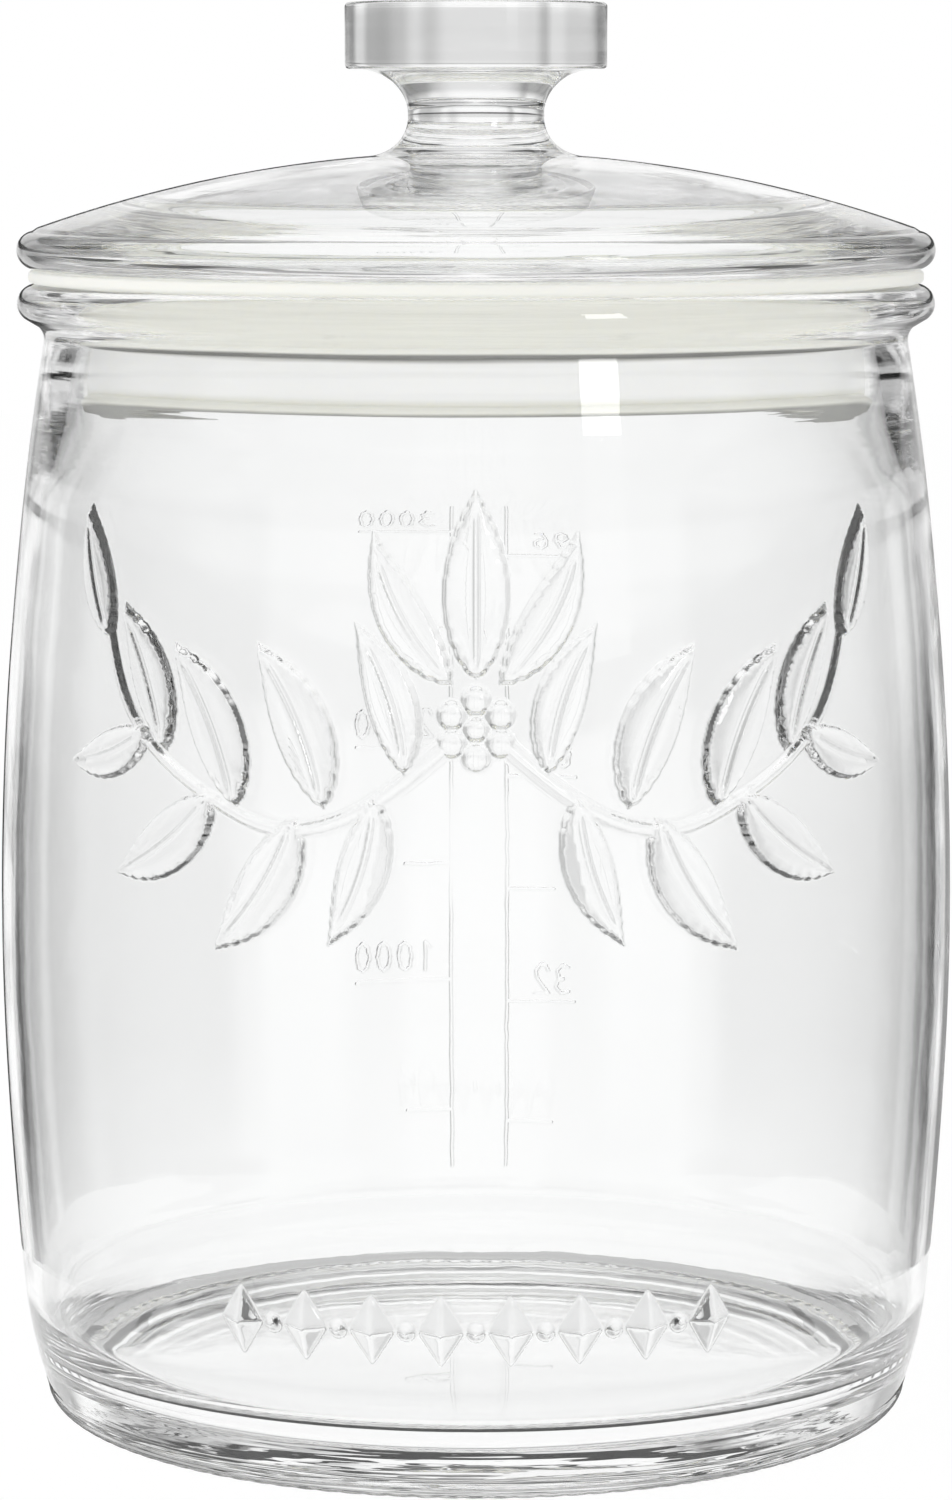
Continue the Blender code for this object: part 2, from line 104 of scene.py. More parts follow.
def arc(centre: Point, radii: Point, start: float, end: float, steps: int) -> list[Point]:
    """Make points of an arc or a quarter ellipse.

    Args:
        centre: Middle of the arc as radius and height.
        radii: Half axes of the arc.
        start: First angle in degrees.
        end: Last angle in degrees.
        steps: Number of chords.

    Returns:
        The points in order.
    """
    angles = np.radians(np.linspace(start, end, steps + 1))
    return [(centre[0] + radii[0] * math.cos(a), centre[1] + radii[1] * math.sin(a)) for a in angles]


def spline(stations: list[Point], steps: int) -> list[Point]:
    """Make a natural cubic spline through stations, with even curvature between them.

    Args:
        stations: Points that the curve passes through.
        steps: Number of chords in the whole curve.

    Returns:
        The points in order, ends included.
    """
    knots = np.array(stations)
    chords = np.hypot(*np.diff(knots, axis=0).T)
    t = np.concatenate([[0.0], np.cumsum(chords)])
    count = len(knots)
    system = np.eye(count)
    right = np.zeros((count, 2))
    for i in range(1, count - 1):
        before, after = t[i] - t[i - 1], t[i + 1] - t[i]
        system[i, i - 1:i + 2] = before, 2 * (before + after), after
        right[i] = 6 * ((knots[i + 1] - knots[i]) / after - (knots[i] - knots[i - 1]) / before)
    bend = np.linalg.solve(system, right)
    points = []
    for u in np.linspace(0, t[-1], steps + 1):
        i = int(min(np.searchsorted(t, u, side="right") - 1, count - 2))
        width = t[i + 1] - t[i]
        a, b = (t[i + 1] - u) / width, (u - t[i]) / width
        point = a * knots[i] + b * knots[i + 1] + (
            (a ** 3 - a) * bend[i] + (b ** 3 - b) * bend[i + 1]) * width ** 2 / 6
        points.append((float(point[0]), float(point[1])))
    return points


@dataclass
class Section:
    """Half section of a turned piece, read by the length along its outline.

    Args:
        outline: Points as radius and height, running down the outer side.
        closed: Whether the last point joins the first.
        step: Distance between two points of the even outline.
        softening: Length over which the direction is averaged at corners.
        points: Evenly spaced points of the outline, worked out from it.
        lengths: Length along the outline at each of them.
        tangents: Unit direction at each of them.
    """

    outline: list[Point]
    closed: bool = False
    step: float = 0.0001
    softening: float = 0.0003
    points: np.ndarray = field(init=False)
    lengths: np.ndarray = field(init=False)
    tangents: np.ndarray = field(init=False)

    def __post_init__(self) -> None:
        """Space the outline evenly and find its direction at each point."""
        raw = np.array(self.outline + ([self.outline[0]] if self.closed else []))
        keep = np.concatenate([[True], np.hypot(*np.diff(raw, axis=0).T) > 1e-7])
        raw = raw[keep]
        along = np.concatenate([[0.0], np.cumsum(np.hypot(*np.diff(raw, axis=0).T))])
        count = int(along[-1] / self.step) + 1
        self.lengths = np.linspace(0, along[-1], count)
        self.points = np.stack([np.interp(self.lengths, along, raw[:, k]) for k in (0, 1)], axis=1)
        reach = max(1, int(self.softening / self.step / 2))
        index = np.arange(count)
        low, high = np.maximum(index - reach, 0), np.minimum(index + reach, count - 1)
        direction = self.points[high] - self.points[low]
        self.tangents = direction / np.hypot(*direction.T)[:, None]
        for end in (0, -1):
            if not self.closed and self.points[end, 0] < 1e-6:
                self.tangents[end] = (1.0 if end == 0 else -1.0, 0.0)

    def at(self, lengths: np.ndarray) -> tuple[np.ndarray, np.ndarray]:
        """Read places and directions at lengths along the outline.

        Args:
            lengths: Lengths from the outline's start.

        Returns:
            Places and unit directions, each as rows of radius and height.
        """
        place = np.stack([np.interp(lengths, self.lengths, self.points[:, k]) for k in (0, 1)], axis=1)
        way = np.stack([np.interp(lengths, self.lengths, self.tangents[:, k]) for k in (0, 1)], axis=1)
        return place, way / np.hypot(*way.T)[:, None]

    def nearest(self, place: Point) -> float:
        """Find the length along the outline at which it comes nearest to a place."""
        distance = np.hypot(*(self.points - np.array(place)).T)
        return float(self.lengths[int(distance.argmin())])

    def rows(self, spacing: float, turn: float,
             tight: tuple[float, float, float] | None = None) -> np.ndarray:
        """Choose where rows of faces lie: closer together where the outline bends.

        Args:
            spacing: Longest distance between two rows.
            turn: Most that the outline may bend between two rows, in degrees.
            tight: First length, last length and spacing of a stretch with its own spacing.

        Returns:
            Lengths along the outline, ends included.
        """
        angles = np.unwrap(np.arctan2(self.tangents[:, 1], self.tangents[:, 0]))
        bend = np.abs(np.diff(angles)) / math.radians(turn)
        widths = np.full(len(bend), spacing)
        if tight:
            inside = (self.lengths[:-1] > tight[0]) & (self.lengths[:-1] < tight[1])
            widths[inside] = tight[2]
            bend[inside] = 0
        cost = np.concatenate([[0.0], np.cumsum(np.diff(self.lengths) / widths + bend)])
        count = int(math.ceil(cost[-1]))
        return np.interp(np.linspace(0, cost[-1], count + 1), cost, self.lengths)


def add_object(name: str, data: bpy.types.ID) -> bpy.types.Object:
    """Put a mesh, camera or light into the scene as an object at the origin.

    Args:
        name: Name of the object.
        data: What it shows.

    Returns:
        The new object.
    """
    thing = bpy.data.objects.new(name, data)
    bpy.context.scene.collection.objects.link(thing)
    return thing


def new_material(name: str) -> tuple[bpy.types.Material, Tree]:
    """Make a material with Blender's plain shader.

    Args:
        name: Name of the material.

    Returns:
        The material and its tree.
    """
    material = bpy.data.materials.new(name)
    material.use_nodes = True
    return material, material.node_tree


def calculate(tree: Tree, what: Sum, *terms: Socket | float) -> Socket:
    """Add a Math node.

    Args:
        tree: Tree that gets it.
        what: What it works out.
        terms: Its inputs in order, as sockets to link or as numbers.

    Returns:
        Socket of the result.
    """
    node = tree.nodes.new("ShaderNodeMath")
    node.operation = what.value
    for socket, term in zip(node.inputs, terms):
        if isinstance(term, float):
            socket.default_value = term
        else:
            tree.links.new(term, socket)
    return node.outputs["Value"]


def between(tree: Tree, value: Socket, limits: Point) -> Socket:
    """Add a share that goes from 0 to 1 between two values.

    Args:
        tree: Tree that gets it.
        value: Socket of the value.
        limits: Values at which the share is 0 and 1.

    Returns:
        Socket of the share.
    """
    share = tree.nodes.new("ShaderNodeMapRange")
    share.inputs["From Min"].default_value, share.inputs["From Max"].default_value = limits
    tree.links.new(value, share.inputs["Value"])
    return share.outputs["Result"]


def colour_ramp(tree: Tree, value: Socket, stops: list[tuple[float, Colour]],
                easing: Easing = Easing.STRAIGHT) -> Socket:
    """Add a ramp of colours.

    Args:
        tree: Tree that gets it.
        value: Socket of the place on the ramp.
        stops: Places from 0 to 1, in order, with their colours.
        easing: How the ramp runs between them.

    Returns:
        Socket of the colour.
    """
    node = tree.nodes.new("ShaderNodeValToRGB")
    elements = node.color_ramp.elements
    for index, (spot, colour) in enumerate(stops):
        stop = elements[index] if index < 2 else elements.new(spot)
        stop.position, stop.color = spot, (*colour, 1.0)
    node.color_ramp.interpolation = easing.value
    tree.links.new(value, node.inputs["Fac"])
    return node.outputs["Color"]


def level_ramp(tree: Tree, value: Socket, stops: Stops, easing: Easing = Easing.STRAIGHT) -> Socket:
    """Add a ramp of grey levels, with the arguments and the result of colour_ramp."""
    return colour_ramp(tree, value, [(spot, (level,) * 3) for spot, level in stops], easing)


def noise(tree: Tree, place: Socket, scale: float, detail: float) -> Socket:
    """Add an even noise.

    Args:
        tree: Tree that gets it.
        place: Socket of the place that it is read at.
        scale: Number of its bumps in a metre.
        detail: Number of finer layers.

    Returns:
        Socket of its level.
    """
    node = tree.nodes.new("ShaderNodeTexNoise")
    node.inputs["Scale"].default_value = scale
    node.inputs["Detail"].default_value = detail
    tree.links.new(place, node.inputs["Vector"])
    return node.outputs["Fac"]


def bumped(tree: Tree, height: Socket, depth: float, normal: Socket | None = None) -> Socket:
    """Tilt a normal by the slope of a height.

    Args:
        tree: Tree that gets the node.
        height: Socket of the height, in shares of the depth.
        depth: Depth in metres.
        normal: Socket of the normal to tilt, or nothing for the mesh's own.

    Returns:
        Socket of the new normal.
    """
    node = tree.nodes.new("ShaderNodeBump")
    node.inputs["Strength"].default_value = 1.0
    node.inputs["Distance"].default_value = depth
    tree.links.new(height, node.inputs["Height"])
    if normal is not None:
        tree.links.new(normal, node.inputs["Normal"])
    return node.outputs["Normal"]


@dataclass(frozen=True)
class Glass:
    """Clear pressed glass with the faint waves that the mould leaves.

    Args:
        name: Name of the material.
        tint: Colour that passes through.
        haze: Share of the light that dust and scratches scatter at each surface.
        roughness: Roughness of the fire-polished skin.
        ior: Index of refraction.
        wave_scale: Number of mould waves in a metre.
        wave_depth: Depth of the waves in metres.
        chill_scale: Number of fine chill ripples in a metre.
        chill_depth: Depth of the fine ripples in metres.
        ring_scale: Number of level ripples in a metre, round the piece and up it.
        ring_depth: Depth of the level ripples in metres.
        ring_shares: Share of that depth by height, where the mould's parts meet the glass.
        wave_detail: Finer layers in the waves.
        ring_detail: Finer layers in the level ripples.
    """

    name: str
    tint: Colour = (0.994, 0.997, 0.996)
    haze: float = 0.008
    roughness: float = 0.0
    ior: float = 1.52
    wave_scale: float = 38.0
    wave_depth: float = 0.00012
    chill_scale: float = 240.0
    chill_depth: float = 0.000006
    ring_scale: tuple[float, float] = (22.0, 680.0)
    ring_depth: float = 0.00014
    ring_shares: Stops = (
        (0.0, 1.3), (0.0040, 1.3), (0.0050, 0.1), (0.0064, 0.1), (0.0072, 0.3), (0.0090, 0.3),
        (0.0130, 0.0), (0.165, 0.0), (0.174, 0.1), (0.1925, 0.1), (0.1960, 0.7), (0.2138, 0.7),
        (0.2158, 0.03), (0.2285, 0.03), (0.2310, 0.12), (0.2415, 0.12), (0.2428, 0.0))
    wave_detail: float = 1.0
    ring_detail: float = 1.5

    def rings(self, tree: Tree, place: Socket, normal: Socket) -> Socket:
        """Add level ripples at the heel, the neck and the rims.

        Args:
            tree: The material's tree.
            place: Socket of the place on the piece.
            normal: Socket of the normal that they are laid on.

        Returns:
            Socket of the new normal.
        """
        round_scale, up_scale = self.ring_scale
        stretch, parts = tree.nodes.new("ShaderNodeVectorMath"), tree.nodes.new("ShaderNodeSeparateXYZ")
        stretch.operation = "MULTIPLY"
        stretch.inputs[1].default_value = (round_scale, round_scale, up_scale)
        tree.links.new(place, stretch.inputs[0])
        tree.links.new(place, parts.inputs["Vector"])
        top = self.ring_shares[-1][0]
        share = level_ramp(tree, calculate(tree, Sum.DIVIDE, parts.outputs["Z"], top),
                           tuple((height / top, level) for height, level in self.ring_shares))
        ripples = noise(tree, stretch.outputs["Vector"], 1.0, self.ring_detail)
        centred = calculate(tree, Sum.SUBTRACT, ripples, 0.5)
        return bumped(tree, calculate(tree, Sum.MULTIPLY, centred, share), self.ring_depth, normal)

    def material(self) -> bpy.types.Material:
        """Build the material with waves and ripples in its bump.

        Returns:
            The finished material.
        """
        material, tree = new_material(self.name)
        shader = tree.nodes["Principled BSDF"]
        shader.inputs["Base Color"].default_value = (*self.tint, 1.0)
        shader.inputs["Roughness"].default_value = self.roughness
        shader.inputs["Transmission Weight"].default_value = 1.0 - self.haze
        shader.inputs["IOR"].default_value = self.ior
        place = tree.nodes.new("ShaderNodeTexCoord").outputs["Object"]
        normal = None
        for scale, depth in ((self.wave_scale, self.wave_depth), (self.chill_scale, self.chill_depth)):
            normal = bumped(tree, noise(tree, place, scale, self.wave_detail), depth, normal)
        tree.links.new(self.rings(tree, place, normal), shader.inputs["Normal"])
        return material


@dataclass(frozen=True)
class Silicone:
    """Off-white silicone rubber that lets a little light through.

    Args:
        name: Name of the material.
        bands: Heights with the colour that the rubber has there: creamy where it is thick, nearly
            white in the thin sleeve, with painted shade as dark bands in the crease between
            them and along the lip's lowest edge.
        wander: How far the clouds move the edges of these bands.
        cloud_scale: Number of clouds in a metre.
        roughness: Roughness of the moulded skin.
        ior: Index of refraction.
        glow: Share of light that spreads inside the rubber.
        glow_reach: How far it spreads, in metres.
        glow_colour: Share of that reach for red, green and blue.
        grain_scale: Number of grains of the mould's skin in a metre.
        grain_depth: Depth of the grain in metres.
        detail: Finer layers in the clouds and the grain.
    """

    name: str
    bands: tuple[tuple[float, Colour], ...] = (
        # Painted shade: a dark band along the lip's lowest edge.
        (0.1840, (0.30, 0.30, 0.28)), (0.1845, (0.30, 0.30, 0.28)),
        (0.1850, (0.80, 0.80, 0.74)), (0.1864, (0.84, 0.84, 0.79)),
        (0.1872, (0.97, 0.97, 0.955)), (0.1928, (0.97, 0.97, 0.955)),
        # Painted shade: a dark band in the crease under the thick band.
        (0.1936, (0.22, 0.22, 0.21)), (0.1950, (0.22, 0.22, 0.21)),
        (0.1957, (0.86, 0.86, 0.815)), (0.2080, (0.86, 0.86, 0.815)))
    wander: float = 0.0005
    cloud_scale: float = 30.0
    roughness: float = 0.45
    ior: float = 1.41
    glow: float = 0.4
    glow_reach: float = 0.002
    glow_colour: Colour = (1.0, 0.95, 0.8)
    grain_scale: float = 900.0
    grain_depth: float = 0.00001
    detail: float = 2.0

    def material(self) -> bpy.types.Material:
        """Build the material with faint clouds and a fine moulded grain.

        Returns:
            The finished material.
        """
        material, tree = new_material(self.name)
        shader = tree.nodes["Principled BSDF"]
        shader.inputs["Roughness"].default_value = self.roughness
        shader.inputs["Subsurface Weight"].default_value = self.glow
        shader.inputs["Subsurface Radius"].default_value = self.glow_colour
        shader.inputs["Subsurface Scale"].default_value = self.glow_reach
        shader.inputs["IOR"].default_value = self.ior
        place, parts = tree.nodes.new("ShaderNodeTexCoord"), tree.nodes.new("ShaderNodeSeparateXYZ")
        tree.links.new(place.outputs["Object"], parts.inputs["Vector"])
        low, high = self.bands[0][0], self.bands[-1][0]
        clouds = noise(tree, place.outputs["Object"], self.cloud_scale, self.detail)
        spot = calculate(tree, Sum.MULTIPLY_ADD, clouds, self.wander / (high - low),
                         between(tree, parts.outputs["Z"], (low, high)))
        colour = colour_ramp(tree, spot, [
            (min((height + self.wander / 2 - low) / (high - low), 1.0), colour)
            for height, colour in self.bands])
        grain = noise(tree, place.outputs["Object"], self.grain_scale, self.detail)
        tree.links.new(colour, shader.inputs["Base Color"])
        tree.links.new(bumped(tree, grain, self.grain_depth), shader.inputs["Normal"])
        return material


@dataclass
class Stroke:
    """Raised stroke of a pattern: a centre line with a half width at each of its points.

    Args:
        line: Centre line in millimetres.
        half_widths: Half width at each point of the line.
        height: How far the middle stands proud.
        crown: Share of the height that the top rises from the bevel to its middle.
        groove: Depth of a narrow groove along the middle, as on a leaf.
        bevel: Width of the sloping edge.

    The groove has a half width and a part of it that gets finer faces. It sets in where the
    stroke's own half width passes a start, over a blend, and a grooved stroke has its full
    height where it is wider than its bevel times a number.
    """

    line: np.ndarray
    half_widths: np.ndarray
    height: float
    crown: float = 0.4
    groove: float = 0.0
    bevel: float = 1.3

    GROOVE_HALF_WIDTH: ClassVar[float] = 0.55
    GROOVE_FINE: ClassVar[float] = 0.35
    GROOVE_START: ClassVar[float] = 1.4
    GROOVE_BLEND: ClassVar[float] = 1.6
    FULL_WIDTH: ClassVar[float] = 1.3
    REACH: ClassVar[float] = 6.0

    def measure(self, x: np.ndarray, y: np.ndarray) -> tuple[np.ndarray, np.ndarray]:
        """Measure height and distance to the edge at points of the unrolled wall.

        Args:
            x: Places round the jar.
            y: Places up the jar.

        Returns:
            The stroke's height, and the distance to its edge, negative inside it.
        """
        edge = np.full(x.shape, FAR)
        height = np.zeros(x.shape)
        reach = self.half_widths.max() + self.REACH
        low, high = self.line.min(axis=0) - reach, self.line.max(axis=0) + reach
        near = np.nonzero((x > low[0]) & (x < high[0]) & (y > low[1]) & (y < high[1]))[0]
        if near.size == 0:
            return height, edge
        px, py = x[near], y[near]
        best, share, middle = (np.full(near.shape, FAR) for _ in range(3))
        widest = np.full(near.shape, 0.1)
        for (ax, ay), (bx, by), ra, rb in zip(
                self.line[:-1], self.line[1:], self.half_widths[:-1], self.half_widths[1:]):
            dx, dy = bx - ax, by - ay
            t = np.clip(((px - ax) * dx + (py - ay) * dy) / (dx * dx + dy * dy + 1e-12), 0, 1)
            distance = np.hypot(px - ax - t * dx, py - ay - t * dy)
            radius = ra + (rb - ra) * t
            closer = distance - radius < best
            widest = np.where(closer, radius, widest)
            best = np.minimum(best, distance - radius)
            share = np.minimum(share, distance / np.maximum(radius, 1e-6))
            middle = np.minimum(middle, distance)
        rise = np.clip(-best / np.minimum(self.bevel, 0.9 * widest), 0, 1)
        rise = rise * rise * (3 - 2 * rise)
        raised = self.height * rise * (1 - self.crown * np.clip(share, 0, 1) ** 2)
        if self.groove:
            raised *= np.clip(widest / (self.FULL_WIDTH * self.bevel), 0, 1)
            fade = np.clip((widest - self.GROOVE_START) / self.GROOVE_BLEND, 0, 1)
            raised -= self.groove * np.exp(-(middle / self.GROOVE_HALF_WIDTH) ** 2) * fade * rise
            best = np.maximum(best, np.where(fade > 0, -self.GROOVE_FINE - middle, -FAR))
        edge[near] = best
        height[near] = np.clip(raised, 0, None)
        return height, edge


@dataclass
class Lozenge:
    """Raised four-sided point of a pressed border, as wide and tall as it is given.

    Args:
        x: Middle round the jar in millimetres.
        y: Middle up the jar in millimetres.
        half_width: Half of its width.
        half_height: Half of its height.
        height: How far its peak stands proud.

    Its ridges are rounded by a small share, its foot runs out over another, and its plain
    height is raised by a factor, to make up for the height that the rounding takes.
    """

    x: float
    y: float
    half_width: float
    half_height: float
    height: float

    RIDGE_ROUNDING: ClassVar[float] = 0.004
    FOOT_SHARE: ClassVar[float] = 0.2
    HEIGHT_FACTOR: ClassVar[float] = 1.2

    def measure(self, x: np.ndarray, y: np.ndarray) -> tuple[np.ndarray, np.ndarray]:
        """Measure height and distance to the edge, as a stroke does.

        Args:
            x: Places round the jar.
            y: Places up the jar.

        Returns:
            The lozenge's height, and the distance to its edge, negative inside it.
        """
        across, upward = (x - self.x) / self.half_width, (y - self.y) / self.half_height
        rounding = self.RIDGE_ROUNDING
        slope = 1 - np.sqrt(across ** 2 + rounding) - np.sqrt(upward ** 2 + rounding)
        steep = math.hypot(1 / self.half_width, 1 / self.half_height)
        foot = np.clip(slope / self.FOOT_SHARE, 0, 1)
        raised = self.height * self.HEIGHT_FACTOR * np.clip(slope, 0, None) * foot * (2 - foot)
        return raised, -slope / steep


def bead(middle: Point, radius: float, height: float) -> Stroke:
    """Make a round bead.

    Args:
        middle: Its middle on the unrolled wall.
        radius: Its radius.
        height: How far it stands proud.

    Returns:
        A stroke so short that it looks round.
    """
    line = np.array([middle, (middle[0] + 0.01, middle[1])])
    return Stroke(line, np.full(2, radius), height, crown=0.6)


class Pattern(ABC):
    """Relief on one side of the jar's wall."""

    side: Side

    @abstractmethod
    def shapes(self) -> list[Stroke | Lozenge]:
        """List the raised shapes of the pattern."""


def bezier(points: list[Point], steps: int) -> np.ndarray:
    """Make points of a Bezier curve.

    Args:
        points: Its control points.
        steps: Number of chords.

    Returns:
        The points as rows of x and y.
    """
    t = np.linspace(0, 1, steps + 1)[:, None]
    rows = [np.repeat(np.array([p], dtype=float), steps + 1, axis=0) for p in points]
    while len(rows) > 1:
        rows = [a * (1 - t) + b * t for a, b in zip(rows, rows[1:])]
    return rows[0]


@dataclass
class LeafGarland(Pattern):
    """Garland of raised leaves on two branches that spring from a rosette.

    The right half is given as shares of the reach and of the rise, and mirrored.

    Args:
        side: Side of the jar that carries it.
        reach: Half its width round the wall, in millimetres.
        foot: Height of its lowest leaf tip.
        rise: Its own height.
        height: How far the leaves stand proud.
        leaf_width: Width of a large leaf.
        stem_width: Width of the branches.
        stem_height: Height of the branches as a share of the leaves'.
        stem: Places that the right branch passes through.
        leaves: Base, tip, bend as a share of the length, and share of the leaf width.
        middle_leaf: The same for the leaf above the rosette.
        heart: Middle of the rosette.
        petals: Number of beads round it.
        petal_reach: Distance of their middles from the heart.
        petal_radius: Radius of these beads.
        heart_radius: Radius of the bead in the middle.
        leaf_bevel: Width of the sloping edge of a leaf.
        leaf_groove: Depth of its groove.
    """

    side: Side = Side.FRONT
    reach: float = 82.0
    foot: float = 95.0
    rise: float = 78.0
    height: float = 2.1
    leaf_width: float = 11.0
    stem_width: float = 4.2
    stem_height: float = 0.55
    stem: tuple[Point, ...] = (
        (0.05, 0.47), (0.15, 0.38), (0.27, 0.30), (0.42, 0.27),
        (0.56, 0.32), (0.70, 0.40), (0.80, 0.49), (0.90, 0.72))
    leaves: tuple[tuple[Point, Point, float, float], ...] = (
        ((0.049, 0.590), (0.220, 0.910), -0.16, 0.85), ((0.146, 0.397), (0.256, 0.718), 0.14, 0.85),
        ((0.317, 0.321), (0.476, 0.667), 0.14, 1.0), ((0.512, 0.314), (0.683, 0.654), 0.14, 1.0),
        ((0.695, 0.423), (0.841, 0.731), 0.12, 0.85), ((0.207, 0.346), (0.305, 0.026), -0.14, 0.85),
        ((0.378, 0.295), (0.561, 0.0), -0.14, 1.0), ((0.573, 0.333), (0.829, 0.141), -0.14, 1.0),
        ((0.744, 0.462), (1.0, 0.372), -0.14, 0.8), ((0.878, 0.654), (0.988, 0.936), -0.1, 0.85))
    middle_leaf: tuple[Point, Point, float, float] = ((0.0, 0.603), (0.0, 1.0), 0.0, 1.1)
    heart: Point = (0.0, 0.494)
    petals: int = 6
    petal_reach: float = 4.7
    petal_radius: float = 2.9
    heart_radius: float = 2.6
    leaf_bevel: float = 0.95
    leaf_groove: float = 0.55

    def place(self, shares: Point) -> Point:
        """Turn shares of the reach and of the rise into millimetres on the wall."""
        return shares[0] * self.reach, self.foot + shares[1] * self.rise

    def leaf(self, base: Point, tip: Point, bend: float, width: float) -> Stroke:
        """Make a leaf, bent to its left.

        Args:
            base: Where it springs from the branch.
            tip: Where it ends.
            bend: How far its middle is moved, as a share of its length.
            width: Share of the leaf width.

        Returns:
            The leaf's stroke.
        """
        start, end = self.place(base), self.place(tip)
        run = (end[0] - start[0], end[1] - start[1])
        middle = (start[0] + run[0] / 2 - run[1] * bend, start[1] + run[1] / 2 + run[0] * bend)
        line = bezier([start, middle, end], 12)
        share = np.linspace(0, 1, len(line))
        half = self.leaf_width * width / 2 * np.sin(np.pi * share ** 0.85) ** 0.85
        return Stroke(line, np.maximum(half, 0.3), self.height, crown=0.5,
                      groove=self.leaf_groove, bevel=self.leaf_bevel)

    def branch(self) -> list[Stroke]:
        """Make the right branch with its leaves.

        Returns:
            The branch's stroke, then those of its leaves.
        """
        line = np.array(spline([self.place(shares) for shares in self.stem], 24))
        taper = np.linspace(self.stem_width / 2, self.stem_width / 3.2, len(line))
        stem = Stroke(line, taper, self.height * self.stem_height, crown=0.5, bevel=self.stem_width / 2)
        return [stem] + [self.leaf(*leaf) for leaf in self.leaves]

    def shapes(self) -> list[Stroke | Lozenge]:
        """List the branches, the middle leaf and the rosette.

        Returns:
            The raised shapes.
        """
        shapes: list[Stroke | Lozenge] = []
        for stroke in self.branch():
            shapes += [stroke, replace(stroke, line=stroke.line * np.array([-1.0, 1.0]))]
        shapes.append(self.leaf(*self.middle_leaf))
        x, y = self.place(self.heart)
        for petal in range(self.petals):
            angle = math.tau * (petal + 0.5) / self.petals
            middle = (x + self.petal_reach * math.cos(angle), y + self.petal_reach * math.sin(angle))
            shapes.append(bead(middle, self.petal_radius, self.height))
        shapes.append(bead((x, y), self.heart_radius, self.height))
        return shapes


@dataclass
class FootBorder(Pattern):
    """Border of raised lozenges and beads low on the front.

    Args:
        side: Side of the jar that carries it.
        middle: Height of the border's middle in millimetres.
        count: Number of lozenges.
        pitch: Distance from one lozenge to the next.
        height: How far the lozenges stand proud.
        half_width: Half the width of a lozenge.
        half_height: Half its height up the wall.
        bead_radius: Radius of the beads between them.
        bead_height: How far the beads stand proud, as a share of the lozenges' height.
    """

    side: Side = Side.FRONT
    middle: float = 31.0
    count: int = 8
    pitch: float = 12.2
    height: float = 2.0
    half_width: float = 4.3
    half_height: float = 6.6
    bead_radius: float = 1.8
    bead_height: float = 0.7

    def shapes(self) -> list[Stroke | Lozenge]:
        """List the lozenges with a bead between each two.

        Returns:
            The raised shapes.
        """
        shapes: list[Stroke | Lozenge] = []
        for index in range(self.count):
            x = (index - (self.count - 1) / 2) * self.pitch
            shapes.append(Lozenge(x, self.middle, self.half_width, self.half_height, self.height))
            if index:
                place = (x - self.pitch / 2, self.middle)
                shapes.append(bead(place, self.bead_radius, self.height * self.bead_height))
        return shapes


